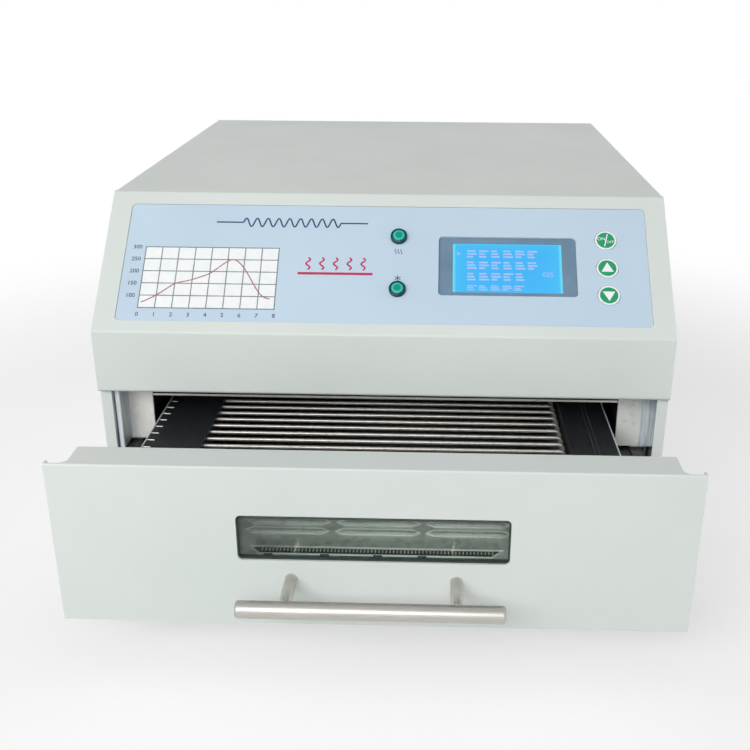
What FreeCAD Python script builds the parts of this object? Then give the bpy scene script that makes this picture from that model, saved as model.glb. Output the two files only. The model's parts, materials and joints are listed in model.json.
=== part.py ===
import FreeCAD, Part
import math
import os
import re
import Sketcher
from FreeCAD import Placement, Rotation, Vector

# Benchtop reflow oven with a sliding drawer, modelled with the drawer about a third open.
# +Z is up, +X is to the right of someone facing the drawer, +Y points to the back.
# The origin is on the bench, under the middle of the whole outline.
# Every y given to the helpers below is a depth behind the front face of the fascia.

DIMENSIONS = {
    # Case
    "case_width": 370,
    "case_depth": 421,
    "case_height": 256,
    "fascia_y": -145,
    "skin": 1.2,
    "gap": 0.3,
    "fit": 0.2,
    "drill": 6,
    "bend_radius": 2.4,
    "cover_bend": 1.1,
    "foot_height": 20,
    "foot_radius": 15,
    "foot_taper": 2,
    "foot_x": 150,
    "foot_front_y": 48,
    "foot_back_y": 385,
    "foot_well": 11,
    "well_radius": 5,
    "post_y": 5,
    "post_width": 7,
    "base_flange": 16,
    "rear_flange": 15,
    "tab_half": 12,
    "slot_column": 70,
    "slot_first": 120,
    "slot_pitch": 30,
    "slot_half": 24,
    "slot_width": 4,
    "vent_first": 90,
    "vent_pitch": 9,
    "vent_width": 3,
    "vent_low": 190,
    "vent_high": 228,
    # Console: fascia, then the sloping panel above it
    "console_sheet": 2,
    "slope": 43.7,
    "bend_z": 182.5,
    "fascia_z": 140.6,
    "console_flange": 20,
    "console_inset": 2,
    "recess": 1,
    "overlay_sheet": 0.5,
    "overlay_half": 171,
    "overlay_low": 8.5,
    "overlay_high": 96.3,
    "overlay_corner": 3,
    # Display, measured along the console (x) and up its slope (v)
    "display_left": 35.2,
    "display_right": 124.9,
    "display_low": 29.8,
    "display_high": 73.9,
    "display_corner": 2.5,
    "screen_left": 44.5,
    "screen_right": 115.5,
    "screen_low": 31.3,
    "screen_high": 69.8,
    "display_thick": 7,
    "display_margin": 4,
    "glass_depth": 3,
    "glass_recess": 0.6,
    # Lamps and keys
    "lamp_x": 8.8,
    "heat_lamp_v": 72.8,
    "cool_lamp_v": 33.3,
    "lamp_radius": 5.5,
    "lamp_proud": 3.2,
    "lamp_stem": 4,
    "lamp_length": 8,
    "lamp_crown": 2.56,
    "key_x": 144.5,
    "power_key_v": 72.3,
    "up_key_v": 51.3,
    "down_key_v": 31.3,
    "key_radius": 7,
    "key_proud": 0.25,
    "key_stem": 2,
    "key_stem_end": 9,
    "key_flange": 1,
    "key_flange_reach": 1.5,
    "key_board_depth": 15,
    "key_board_half": 11,
    "key_board_margin": 15,
    "key_post_inset": 3.5,
    "key_post_radius": 2.5,
    "key_switch_half": 3,
    "key_switch_high": 3.5,
    "plunger_top": 9.8,
    "plunger_radius": 1.7,
    # Boards behind the console, and the power supply on the shield
    "board_thick": 1.6,
    "board_post_radius": 3,
    "board_post_inset": 5,
    "control_board_depth": 22,
    "control_left": -12,
    "control_right": 168,
    "control_low": 12,
    "control_high": 88,
    "power_left": -150,
    "power_right": -30,
    "power_front": 29,
    "power_back": 77,
    "power_lift": 7,
    "power_inset": 4,
    "core_left": -142,
    "core_right": -100,
    "core_front": 36,
    "core_back": 70,
    "core_high": 30,
    "winding_inset": 7,
    "winding_proud": 5,
    "sink_left": -88,
    "sink_right": -48,
    "sink_front": 40,
    "sink_back": 70,
    "sink_base": 4,
    "sink_high": 26,
    "fin_count": 7,
    "fin_thick": 2.5,
    # Drawer opening
    "frame_inner": 157,
    "frame_y": 25,
    "frame_low": 96.2,
    "lintel_low": 128.1,
    "shield_z": 145,
    "shield_play": 0.4,
    "strip_width": 17.5,
    "groove_depth": 5,
    "groove_end": 22,
    "rib_step": 1.5,
    "frame_return": 30,
    # Heating chamber
    "chamber_front": 80,
    "chamber_back": 360,
    "chamber_top": 205,
    "tube_count": 5,
    "tube_first": 115,
    "tube_pitch": 52.5,
    "tube_z": 184,
    "tube_radius": 6,
    "tube_wall": 1.2,
    "cap_radius": 8,
    "blanket": 25,
    "tube_past": 5,
    "tube_play": 0.1,
    "cap_past": 10,
    "filament_radius": 2.5,
    "rear_wall_low": 44,
    "reflector_edge": 37,
    "reflector_drop": 7,
    "reflector_sheet": 1,
    "probe_front": 190,
    "probe_back": 250,
    "probe_reach": 55,
    "probe_radius": 1.5,
    "gland_radius": 4,
    "gland_length": 9,
    # Exhaust fan
    "fan_z": 150,
    "fan_size": 92,
    "fan_depth": 25,
    "fan_hole": 43.5,
    "duct_step": 1,
    "fan_hub": 18,
    "fan_tip": 41.5,
    "fan_bolts": 41.25,
    "blade_count": 7,
    "blade_width": 18,
    "blade_sheet": 1.6,
    "blade_pitch": 40,
    "blade_root": 4,
    "shaft_radius": 1.5,
    "shaft_play": 0.05,
    "shaft_end": 1.3,
    "stator_depth": 6,
    "stator_gap": 0.5,
    "spider_depth": 3,
    "spider_width": 5,
    "guard_wire": 0.9,
    "guard_loop": 2.2,
    "guard_first": 12,
    "guard_pitch": 10,
    "guard_count": 4,
    "guard_eye": 4.6,
    "rear_proud": 5,
    # Mains fittings on the back
    "inlet_x": -120,
    "inlet_z": 60,
    "switch_z": 102,
    "inlet_half": 13.8,
    "inlet_high": 10,
    "inlet_depth": 22,
    "inlet_flange": 2.5,
    "inlet_flange_half": 25,
    "inlet_flange_high": 12,
    "inlet_screw": 20,
    "socket_half": 12,
    "socket_high": 8.2,
    "socket_depth": 16,
    "pin_spread": 7,
    "pin_rise": 2,
    "pin_half": 1,
    "pin_short": 2,
    "switch_half": 11,
    "switch_high": 14,
    "switch_depth": 22,
    "switch_rim": 2,
    "switch_wall": 2,
    "switch_well": 12,
    "switch_well_high": 12.6,
    "rocker_half": 8.6,
    "rocker_pivot": 4,
    "rocker_tilt": 9,
    "rocker_foot": 5,
    "rocker_foot_half": 7,
    "rocker_tip": 7.4,
    "rocker_tip_half": 10.6,
    "rocker_waist": 5.6,
    "fuse_x": -72,
    "fuse_radius": 6,
    "fuse_depth": 26,
    "fuse_collar": 8.5,
    "fuse_cap": 6.5,
    "fuse_step": 2,
    "harness_radius": 2.5,
    # Drawer
    "drawer_y": -100,
    "drawer_low": 36,
    "drawer_top": 139.6,
    "front_sheet": 1.5,
    "lip_depth": 22.5,
    "lip_half": 172.3,
    "lip_relief": 5,
    "front_bend": 1.2,
    "side_return": 4.2,
    "window_half": 78.5,
    "window_low": 79.5,
    "window_high": 108.8,
    "window_corner": 3,
    "glass_thick": 4,
    "glass_margin": 7.5,
    "seal_thick": 1.5,
    "seal_inset": 1,
    "retainer_margin": 12,
    "view_side": 14,
    "view_low": 12,
    "view_high": 4,
    "shield_step": 2,
    "shield_side": 4,
    "pan_half": 166.6,
    "pan_floor": 42,
    "pan_length": 330,
    "pan_top": 94.4,
    "pan_flange": 14,
    # Board rack
    "tray_half": 150,
    "tray_z": 117,
    "tray_length": 320,
    "tray_left": -113,
    "tray_right": 120,
    "tray_ledge": 104,
    "tray_ledge_width": 9,
    "tray_play": 0.5,
    "tray_slot_start": 2.4,
    "tray_slot_end": 7,
    "tray_slot_width": 2,
    "rod_count": 31,
    "rod_pitch": 10.2,
    "rod_first": 28.3,
    "rod_radius": 1.2,
    "rod_z": 113.4,
    "rod_elbow": 4,
    "rod_play": 0.1,
    "rod_side_gap": 2.5,
    # Handle
    "bar_radius": 5,
    "bar_half": 75,
    "bar_z": 67.4,
    "bar_standoff": 31,
    "handle_post_x": 48,
    "handle_post_radius": 3.75,
    "handle_thread": 12,
    # Three-part slides
    "slide_low": 49.2,
    "slide_high": 94.2,
    "slide_outer_x": 179.6,
    "slide_inner_x": 166.8,
    "slide_sheet": 1.4,
    "slide_start": 30,
    "slide_length": 360,
    "slide_play": 1.1,
    "slide_step": 2.9,
    "slide_inner_step": 6.2,
    "slide_inner_lip": 5.2,
    "bracket_foot": 2,
    "bracket_setback": 28,
    # Screws
    "screw_radius": 1.9,
    "screw_hole": 2.05,
    "head_radius": 3.6,
    "head_height": 1.8,
    "screw_column": 165,
    "rear_screw_low": 29,
    "rear_screw_high": 247,
    "cover_shank": 3.6,
    "foot_shank": 14,
    "panel_shank": 8,
    "inlet_shank": 10,
    "fan_shank": 22,
    "handle_head": 2.4,
}

doc = FreeCAD.newDocument("reflow_oven")
sheet = doc.addObject("Spreadsheet::Sheet", "Dims")
for row, (alias, size) in enumerate(DIMENSIONS.items(), start=1):
    sheet.set(f"A{row}", alias)
    sheet.set(f"B{row}", str(size))
    sheet.setAlias(f"B{row}", alias)
doc.recompute()

nodes = {}
SIDES = (("left", -1), ("right", 1))


# Expressions on the sheet

def linked(text):
    """Write an expression with each dimension's name turned into a reference to its cell."""
    def cell(word):
        return f"Dims.{word[0]}" if word[0] in DIMENSIONS else word[0]
    return re.sub(r"[a-z_]+", cell, str(text))


def number(text):
    """The present value of an expression on the sheet."""
    found = sheet.evalExpression(linked(text))
    return float(getattr(found, "Value", found))


def bind(thing, field, text):
    thing.setExpression(field, linked(text))


def place(thing, x, y, z):
    """Tie an object's base point to the sheet; y is a depth behind the fascia."""
    bind(thing, "Placement.Base.x", x)
    bind(thing, "Placement.Base.y", f"fascia_y + ({y})")
    bind(thing, "Placement.Base.z", z)


def on_side(side, near, far):
    """The low and high x of a span that runs from near to far on one side of the middle."""
    if side > 0:
        return near, far
    return f"-({far})", f"-({near})"


# Solids

def box(name, x, y, z):
    """A block between low and high values on each axis."""
    block = doc.addObject("Part::Box", name)
    for field, (low, high) in (("Length", x), ("Width", y), ("Height", z)):
        bind(block, field, f"({high}) - ({low})")
    place(block, x[0], y[0], z[0])
    return block


TURNS = {
    "x": Rotation(Vector(0, 1, 0), 90),
    "y": Rotation(Vector(1, 0, 0), -90),
    "z": Rotation(),
}


def rod(name, along, at, span, radius):
    """A cylinder along one axis; at holds its place on the other two, in x, y, z order."""
    solid = doc.addObject("Part::Cylinder", name)
    bind(solid, "Radius", radius)
    bind(solid, "Height", f"({span[1]}) - ({span[0]})")
    solid.Placement = Placement(Vector(), TURNS[along])
    spots = list(at)
    spots.insert("xyz".index(along), span[0])
    place(solid, *spots)
    return solid


def fuse(name, solids):
    joined = doc.addObject("Part::MultiFuse", name)
    joined.Shapes = solids
    joined.Refine = True
    return joined


def group(name, solids):
    """Separate solids that share one node."""
    together = doc.addObject("Part::Compound", name)
    together.Links = solids
    return together


def cut(name, base, tools):
    hollow = doc.addObject("Part::Cut", name)
    hollow.Base = base
    hollow.Tool = tools[0] if len(tools) == 1 else group(f"{name}_tools", tools)
    hollow.Refine = False
    return hollow


def rounded(name, base, radius, picked):
    """Fillet the straight edges that picked accepts, given each edge's middle and direction."""
    doc.recompute()
    size = number(radius)
    chosen = []
    for index, edge in enumerate(base.Shape.Edges, start=1):
        if isinstance(edge.Curve, Part.Line):
            middle = (edge.Vertexes[0].Point + edge.Vertexes[-1].Point) * 0.5
            middle.y -= number("fascia_y")
            direction = (edge.Vertexes[-1].Point - edge.Vertexes[0].Point).normalize()
            if picked(middle, direction):
                chosen.append((index, size, size))
    soft = doc.addObject("Part::Fillet", name)
    soft.Base = base
    soft.Edges = chosen
    return soft


def runs_along(axis):
    """A test for edges that run along one direction, wherever they are."""
    return lambda middle, direction: abs(direction.dot(axis)) > 0.999


def near(value, target):
    return abs(value - target) < 0.05


# Folded sheets: a closed outline drawn on one plane and padded along the third axis

PLANES = {"yz": "YZ_Plane", "xz": "XZ_Plane", "xy": "XY_Plane"}


def outline(body, name, plane, corners):
    """A sketch of straight sides whose corners are tied to the sheet."""
    sketch = body.newObject("Sketcher::SketchObject", name)
    support = [face for face in body.Origin.OriginFeatures if face.Role == PLANES[plane]][0]
    sketch.AttachmentSupport = [(support, "")]
    sketch.MapMode = "FlatFace"
    spots = [Vector(number(across), number(up), 0) for across, up in corners]
    for start, end in zip(spots, spots[1:] + spots[:1]):
        sketch.addGeometry(Part.LineSegment(start, end), False)
    for side in range(len(corners)):
        following = (side + 1) % len(corners)
        sketch.addConstraint(Sketcher.Constraint("Coincident", side, 2, following, 1))
    for side, (across, up) in enumerate(corners):
        for kind, text, spot in (("DistanceX", across, spots[side].x), ("DistanceY", up, spots[side].y)):
            constraint = sketch.addConstraint(Sketcher.Constraint(kind, side, 1, spot))
            bind(sketch, f"Constraints[{constraint}]", text)
    return sketch


def folded(name, plane, corners, span):
    """A folded sheet: an outline of corners on a plane, padded between the two ends of span."""
    body = doc.addObject("PartDesign::Body", name)
    sketch = outline(body, f"{name}_outline", plane, corners)
    pad = body.newObject("PartDesign::Pad", f"{name}_pad")
    pad.Profile = sketch
    bind(pad, "Length", f"({span[1]}) - ({span[0]})")
    # The XZ plane looks along -Y, so a pad on it starts from the far end of the span.
    starts = {"yz": (span[0], 0, 0), "xz": (0, span[1], 0), "xy": (0, 0, span[0])}
    place(body, *starts[plane])
    return body


# The sloping panel: x across, v up the slope from the lower bend, n out from its face

def on_panel(thing, x, v, n):
    thing.Placement = Placement(Vector(), Rotation(Vector(1, 0, 0), number("slope")))
    bind(thing, "Placement.Rotation.Angle", "slope")
    place(
        thing,
        x,
        f"({v}) * cos(slope) - ({n}) * sin(slope)",
        f"bend_z + ({v}) * sin(slope) + ({n}) * cos(slope)",
    )
    return thing


def panel_box(name, x, v, n):
    block = doc.addObject("Part::Box", name)
    for field, (low, high) in (("Length", x), ("Width", v), ("Height", n)):
        bind(block, field, f"({high}) - ({low})")
    return on_panel(block, x[0], v[0], n[0])


def panel_disc(name, x, v, n, radius):
    disc = doc.addObject("Part::Cylinder", name)
    bind(disc, "Radius", radius)
    bind(disc, "Height", f"({n[1]}) - ({n[0]})")
    return on_panel(disc, x, v, n[0])


def panel_normal():
    tilt = math.radians(number("slope"))
    return Vector(0, -math.sin(tilt), math.cos(tilt))


def panel_plate(name, x, v, n, corner):
    """A panel block with its four corners rounded."""
    return rounded(name, panel_box(f"{name}_block", x, v, n), corner, runs_along(panel_normal()))


def keep(thing):
    """Count an object as one of the oven's pieces."""
    nodes[thing.Label] = thing
    return thing


# Places that more than one piece uses

BEND_Y = "(case_height - bend_z) / tan(slope)"
HALF = "case_width / 2"
INSIDE = "case_width / 2 - skin - gap"
REAR_FACE = "case_depth - gap"
REAR_INNER = "case_depth - gap - skin"
COVER_SCREW_Z = "foot_height + 8"
COVER_SCREW_Y = (60, 175, 290, 398)
SCREW_COLUMNS = ("-screw_column", "0", "screw_column")
INLET_SCREW_X = ("inlet_x - inlet_screw", "inlet_x + inlet_screw")
SLOT_LINES = 6
VENT_SLOTS = 8
FAN_CORNERS = [(across, up) for across in (-1, 1) for up in (-1, 1)]
SHIELD_Y = "(drawer_y + lip_depth - shield_step)"
PAN_START = f"({SHIELD_Y} + skin)"
KEYS = (("power_key", "power_key_v"), ("up_key", "up_key_v"), ("down_key", "down_key_v"))
PANEL_THROUGH = ("-console_sheet * 2", "drill")
BEHIND_PANEL = "-console_sheet - fit"
LAMPS = (("heat_lamp", "heat_lamp_v"), ("cool_lamp", "cool_lamp_v"))
FEET = [(side, depth) for _, side in SIDES for depth in ("foot_front_y", "foot_back_y")]


def rear_screw_spots():
    """Every screw in the back: its name, x, z, where its head sits and how deep it goes."""
    spots = []
    for index, x in enumerate(SCREW_COLUMNS):
        for row in ("low", "high"):
            spots.append((f"panel_{row}_{index}", x, f"rear_screw_{row}", REAR_FACE, "panel_shank"))
    for index, x in enumerate(INLET_SCREW_X):
        spots.append((f"inlet_{index}", x, "inlet_z", f"{REAR_FACE} + inlet_flange", "inlet_shank"))
    for index, (across, up) in enumerate(FAN_CORNERS):
        x = f"{across} * fan_bolts"
        z = f"fan_z + {up} * fan_bolts"
        spots.append((f"fan_{index}", x, z, f"{REAR_FACE} + guard_loop", "fan_shank"))
    return spots


# Case shells

def cover_side(name, side):
    """One side wall of the cover: its front edge follows the inside of the console."""
    lead = "(console_sheet + gap)"
    corners = [
        ("post_y", "foot_height"),
        ("post_y", "fascia_z"),
        (lead, "fascia_z"),
        (lead, f"bend_z + {lead} * tan(slope) - {lead} / cos(slope)"),
        (f"{BEND_Y} + {lead} / sin(slope)", "case_height"),
        ("case_depth", "case_height"),
        ("case_depth", "foot_height"),
    ]
    return folded(name, "yz", corners, on_side(side, f"{HALF} - skin", HALF))


def make_cover():
    top_front = f"{BEND_Y} + (console_sheet + gap) / sin(slope)"
    roof_z = ("case_height - skin", "case_height")
    walls = [box("cover_top", (f"-{HALF}", HALF), (top_front, "case_depth"), roof_z)]
    for hand, side in SIDES:
        walls.append(cover_side(f"cover_side_{hand}", side))
        post_x = on_side(side, f"{HALF} - post_width", HALF)
        post_z = ("foot_height", "fascia_z")
        walls.append(box(f"cover_post_{hand}", post_x, ("post_y", "post_y + skin"), post_z))
    for index, x in enumerate(SCREW_COLUMNS):
        tab_x = (f"{x} - tab_half", f"{x} + tab_half")
        tab_y = (f"{REAR_INNER} - skin", REAR_INNER)
        walls.append(box(f"cover_tab_{index}", tab_x, tab_y, ("case_height - rear_flange", "case_height")))
    half, top = number(HALF), number("case_height")
    shell = rounded(
        "cover_bent",
        fuse("cover_walls", walls),
        "cover_bend",
        lambda middle, direction: abs(direction.y) > 0.999
        and near(abs(middle.x), half)
        and near(middle.z, top),
    )
    holes = []
    for hand, side in SIDES:
        for index, depth in enumerate(COVER_SCREW_Y):
            span = on_side(side, f"{HALF} - drill", f"{HALF} + drill")
            holes.append(rod(f"cover_hole_{hand}_{index}", "x", (depth, COVER_SCREW_Z), span, "screw_hole"))
    for index, x in enumerate(SCREW_COLUMNS):
        span = (f"{REAR_INNER} - drill", REAR_FACE)
        holes.append(rod(f"cover_tab_hole_{index}", "y", (x, "rear_screw_high"), span, "screw_hole"))
    keep(cut("outer_cover", shell, holes))


def make_base():
    floor = "foot_height"
    corners = [
        (f"-({INSIDE})", floor),
        (INSIDE, floor),
        (INSIDE, f"{floor} + base_flange"),
        (f"{INSIDE} - skin", f"{floor} + base_flange"),
        (f"{INSIDE} - skin", f"{floor} + skin"),
        (f"-({INSIDE} - skin)", f"{floor} + skin"),
        (f"-({INSIDE} - skin)", f"{floor} + base_flange"),
        (f"-({INSIDE})", f"{floor} + base_flange"),
    ]
    trough = folded("base_trough", "xz", corners, ("post_y + 2 * skin", REAR_INNER))
    ledge = (f"{floor} + skin / 2", f"{floor} + rear_flange")
    across = (f"-({INSIDE} - skin / 2)", f"{INSIDE} - skin / 2")
    back = box("base_back", across, (f"{REAR_INNER} - skin", REAR_INNER), ledge)
    tools = []
    for column in (-1, 0, 1):
        for line in range(SLOT_LINES):
            x = f"slot_column * ({column})"
            y = f"slot_first + slot_pitch * {line}"
            slot_x = (f"{x} - slot_half", f"{x} + slot_half")
            slot_y = (f"{y} - slot_width / 2", f"{y} + slot_width / 2")
            tools.append(box(f"base_slot_{column + 1}_{line}", slot_x, slot_y, (floor, f"{floor} + skin")))
    for hand, side in SIDES:
        for index, depth in enumerate(COVER_SCREW_Y):
            span = on_side(side, f"{HALF} - drill", HALF)
            tools.append(rod(f"base_hole_{hand}_{index}", "x", (depth, COVER_SCREW_Z), span, "screw_hole"))
    for index, (side, depth) in enumerate(FEET):
        span = ("foot_height - drill", "foot_height + drill")
        tools.append(rod(f"base_foot_hole_{index}", "z", (f"{side} * foot_x", depth), span, "screw_hole"))
    for index, x in enumerate(SCREW_COLUMNS):
        span = (f"{REAR_INNER} - drill", REAR_FACE)
        tools.append(rod(f"base_back_hole_{index}", "y", (x, "rear_screw_low"), span, "screw_hole"))
    keep(cut("base_pan", fuse("base_sheet", [trough, back]), tools))


def make_feet():
    feet = []
    for index, (side, depth) in enumerate(FEET):
        spot = (f"{side} * foot_x", depth)
        pad = doc.addObject("Part::Cone", f"foot_{index}")
        bind(pad, "Radius1", "foot_radius - foot_taper")
        bind(pad, "Radius2", "foot_radius")
        bind(pad, "Height", "foot_height")
        place(pad, *spot, 0)
        well = rod(f"foot_well_{index}", "z", spot, ("-drill", "foot_well"), "well_radius")
        hole = rod(f"foot_hole_{index}", "z", spot, ("-drill", "foot_height + drill"), "screw_hole")
        feet.append(cut(f"foot_cut_{index}", pad, [well, hole]))
    keep(group("rubber_feet", feet))


def make_case_screws():
    """Cover screws in both sides, and one screw up through each foot."""
    screws = []
    for hand, side in SIDES:
        for index, depth in enumerate(COVER_SCREW_Y):
            name = f"cover_screw_{hand}_{index}"
            at = (depth, COVER_SCREW_Z)
            head = rod(f"{name}_head", "x", at, on_side(side, HALF, f"{HALF} + head_height"), "head_radius")
            shank_x = on_side(side, f"{HALF} - cover_shank", HALF)
            shank = rod(f"{name}_shank", "x", at, shank_x, "screw_radius")
            screws.append(fuse(name, [head, shank]))
    for index, (side, depth) in enumerate(FEET):
        at = (f"{side} * foot_x", depth)
        head_z = ("foot_well - head_height", "foot_well")
        head = rod(f"foot_screw_{index}_head", "z", at, head_z, "head_radius")
        shank_z = ("foot_well", "foot_well + foot_shank")
        shank = rod(f"foot_screw_{index}_shank", "z", at, shank_z, "screw_radius")
        screws.append(fuse(f"foot_screw_{index}", [head, shank]))
    keep(group("case_screws", screws))


def centred(name, z, half_x, half_z, depth):
    """A block on the mains column of the back, given its half sizes across and up."""
    across = (f"inlet_x - ({half_x})", f"inlet_x + {half_x}")
    return box(name, across, depth, (f"{z} - ({half_z})", f"{z} + {half_z}"))


def make_rear_panel():
    sheet_z = ("foot_height + skin + gap", "case_height - skin - gap")
    plate = box("rear_plate", (f"-({INSIDE})", INSIDE), (REAR_INNER, REAR_FACE), sheet_z)
    through = (f"{REAR_INNER} - drill", f"{REAR_FACE} + drill")
    tools = [
        rod("rear_fan_hole", "y", (0, "fan_z"), through, "fan_hole - duct_step"),
        rod("rear_fuse_hole", "y", ("fuse_x", "inlet_z"), through, "fuse_radius + gap"),
        centred("rear_inlet_hole", "inlet_z", "inlet_half + fit", "inlet_high + fit", through),
        centred("rear_switch_hole", "switch_z", "switch_half + fit", "switch_high + fit", through),
    ]
    for hand, side in SIDES:
        for index in range(VENT_SLOTS):
            x = f"{side} * (vent_first + vent_pitch * {index})"
            slot_x = (f"{x} - vent_width / 2", f"{x} + vent_width / 2")
            tools.append(box(f"rear_vent_{hand}_{index}", slot_x, through, ("vent_low", "vent_high")))
    for name, x, z, _, _ in rear_screw_spots():
        tools.append(rod(f"rear_hole_{name}", "y", (x, z), through, "screw_hole"))
    keep(cut("rear_panel", plate, tools))


def make_rear_screws():
    """Screws of the back panel, the mains inlet and the fan."""
    screws = []
    for name, x, z, seat, depth in rear_screw_spots():
        head = rod(f"screw_{name}_head", "y", (x, z), (seat, f"{seat} + head_height"), "head_radius")
        shank = rod(f"screw_{name}_shank", "y", (x, z), (f"{seat} - {depth}", seat), "screw_radius")
        screws.append(fuse(f"screw_{name}", [head, shank]))
    keep(group("rear_screws", screws))


# Console

def make_console():
    sheet_v = "console_sheet"
    corners = [
        (0, "fascia_z"),
        (0, "bend_z"),
        (BEND_Y, "case_height"),
        (f"{BEND_Y} + {sheet_v} / sin(slope)", "case_height"),
        (sheet_v, f"bend_z + {sheet_v} * tan(slope) - {sheet_v} / cos(slope)"),
        (sheet_v, "fascia_z"),
    ]
    shell = folded("console_shell", "yz", corners, (f"-{HALF}", HALF))
    inner = f"({HALF} - skin - console_inset)"
    across = (f"-{inner}", inner)
    sill_y = (f"{sheet_v} / 4", "console_flange")
    sill = box("console_sill", across, sill_y, ("fascia_z", f"fascia_z + {sheet_v}"))
    lap_z = (f"case_height - skin - gap - {sheet_v}", "case_height - skin - gap")
    lap = box("console_lap", across, (f"{BEND_Y} - skin", f"{BEND_Y} + console_flange"), lap_z)
    bends = ((0, number("fascia_z")), (0, number("bend_z")), (number(BEND_Y), number("case_height")))
    bent = rounded(
        "console_bent",
        fuse("console_sheets", [shell, sill, lap]),
        "bend_radius",
        lambda middle, direction: abs(direction.x) > 0.999
        and any(near(middle.y, y) and near(middle.z, z) for y, z in bends),
    )
    tools = [
        panel_plate(
            "overlay_recess",
            ("-overlay_half - gap", "overlay_half + gap"),
            ("overlay_low - gap", "overlay_high + gap"),
            ("-recess", "drill"),
            "overlay_corner",
        ),
        panel_plate(
            "display_hole",
            ("display_left", "display_right"),
            ("display_low", "display_high"),
            PANEL_THROUGH,
            "display_corner",
        ),
    ]
    for name, v in LAMPS:
        tools.append(panel_disc(f"{name}_hole", "lamp_x", v, PANEL_THROUGH, "lamp_stem + gap"))
    for name, v in KEYS:
        tools.append(panel_disc(f"{name}_hole", "key_x", v, PANEL_THROUGH, "key_radius + gap"))
    keep(cut("front_console", bent, tools))


def make_overlay():
    sheet_n = ("-recess", "overlay_sheet - recess")
    plate = panel_plate(
        "overlay_plate",
        ("-overlay_half", "overlay_half"),
        ("overlay_low", "overlay_high"),
        sheet_n,
        "overlay_corner",
    )
    tools = [
        panel_plate(
            "overlay_display_hole",
            ("display_left", "display_right"),
            ("display_low", "display_high"),
            PANEL_THROUGH,
            "display_corner",
        ),
    ]
    for name, v in LAMPS:
        tools.append(panel_disc(f"overlay_{name}_hole", "lamp_x", v, PANEL_THROUGH, "lamp_stem + gap"))
    for name, v in KEYS:
        tools.append(panel_disc(f"overlay_{name}_hole", "key_x", v, PANEL_THROUGH, "key_radius + gap"))
    keep(cut("control_overlay", plate, tools))


def make_display():
    """The display's metal frame, and the lit glass that sits in it."""
    front = BEHIND_PANEL
    shell = panel_box(
        "display_block",
        ("display_left - display_margin", "display_right + display_margin"),
        ("display_low - display_margin", "display_high + display_margin"),
        (f"{front} - display_thick", front),
    )
    screen_x = ("screen_left", "screen_right")
    screen_v = ("screen_low", "screen_high")
    well = panel_box("display_well", screen_x, screen_v, (f"{front} - glass_depth", "drill"))
    keep(cut("display_frame", shell, [well]))
    glass_n = (f"{front} - glass_depth", f"{front} - glass_recess")
    keep(panel_box("display_glass", screen_x, screen_v, glass_n))


def make_lamps():
    """Two domed indicator lenses with stems through the panel."""
    face = "overlay_sheet - recess"
    for name, v in LAMPS:
        dome = panel_disc(f"{name}_dome", "lamp_x", v, (face, f"{face} + lamp_proud"), "lamp_radius")
        stem = panel_disc(f"{name}_stem", "lamp_x", v, ("-console_sheet - lamp_length", face), "lamp_stem")
        whole = fuse(f"{name}_whole", [dome, stem])
        doc.recompute()
        crown = doc.addObject("Part::Fillet", name)
        crown.Base = whole
        top = max(
            range(len(whole.Shape.Edges)),
            key=lambda index: whole.Shape.Edges[index].CenterOfMass.dot(panel_normal()),
        )
        crown.Edges = [(top + 1, number("lamp_crown"), number("lamp_crown"))]
        keep(crown)


def make_keys():
    """Three push keys with a flange behind the panel and a stem to its switch."""
    face = "overlay_sheet - recess + key_proud"
    behind = BEHIND_PANEL
    wide = "key_radius + key_flange_reach"
    for name, v in KEYS:
        cap = panel_disc(f"{name}_cap", "key_x", v, (behind, face), "key_radius")
        flange = panel_disc(f"{name}_flange", "key_x", v, (f"{behind} - key_flange", behind), wide)
        stem = panel_disc(f"{name}_stem", "key_x", v, ("-key_stem_end", behind), "key_stem")
        keep(fuse(name, [cap, flange, stem]))


def make_panel_boards():
    board_n = ("-key_board_depth - board_thick", "-key_board_depth")
    board_x = ("key_x - key_board_half", "key_x + key_board_half")
    board_v = ("down_key_v - key_board_margin", "power_key_v + key_board_margin")
    keep(panel_box("key_board", board_x, board_v, board_n))
    switches = []
    case_top = "-key_board_depth + key_switch_high"
    case_x = ("key_x - key_switch_half", "key_x + key_switch_half")
    for name, v in KEYS:
        case_v = (f"{v} - key_switch_half", f"{v} + key_switch_half")
        case = panel_box(f"{name}_switch_case", case_x, case_v, ("-key_board_depth", case_top))
        plunger = panel_disc(f"{name}_plunger", "key_x", v, (case_top, "-plunger_top"), "plunger_radius")
        switches.append(fuse(f"{name}_switch", [case, plunger]))
    keep(group("key_switches", switches))
    depth = ("-control_board_depth - board_thick", "-control_board_depth")
    across = ("control_left", "control_right")
    keep(panel_box("control_board", across, ("control_low", "control_high"), depth))


def corners_of(x, y, inset):
    """Four spots a little inside the corners of a board."""
    across = (f"{x[0]} + {inset}", f"{x[1]} - {inset}")
    along = (f"{y[0]} + {inset}", f"{y[1]} - {inset}")
    return [(one, other) for one in across for other in along]


def make_standoffs():
    """Posts between the panel and its boards, and under the power board."""
    posts = []
    spots = corners_of(("control_left", "control_right"), ("control_low", "control_high"), "board_post_inset")
    for index, (x, v) in enumerate(spots):
        span = ("-control_board_depth", "-console_sheet")
        posts.append(panel_disc(f"board_post_{index}", x, v, span, "board_post_radius"))
    reach = "(key_board_margin - key_post_inset)"
    for index, v in enumerate((f"down_key_v - {reach}", f"power_key_v + {reach}")):
        span = ("-key_board_depth", "-console_sheet")
        posts.append(panel_disc(f"key_post_{index}", "key_x", v, span, "key_post_radius"))
    spots = corners_of(("power_left", "power_right"), ("power_front", "power_back"), "power_inset")
    for index, (x, y) in enumerate(spots):
        span = ("shield_z + skin", "shield_z + power_lift")
        posts.append(rod(f"power_post_{index}", "z", (x, y), span, "board_post_radius"))
    keep(group("board_standoffs", posts))


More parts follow.
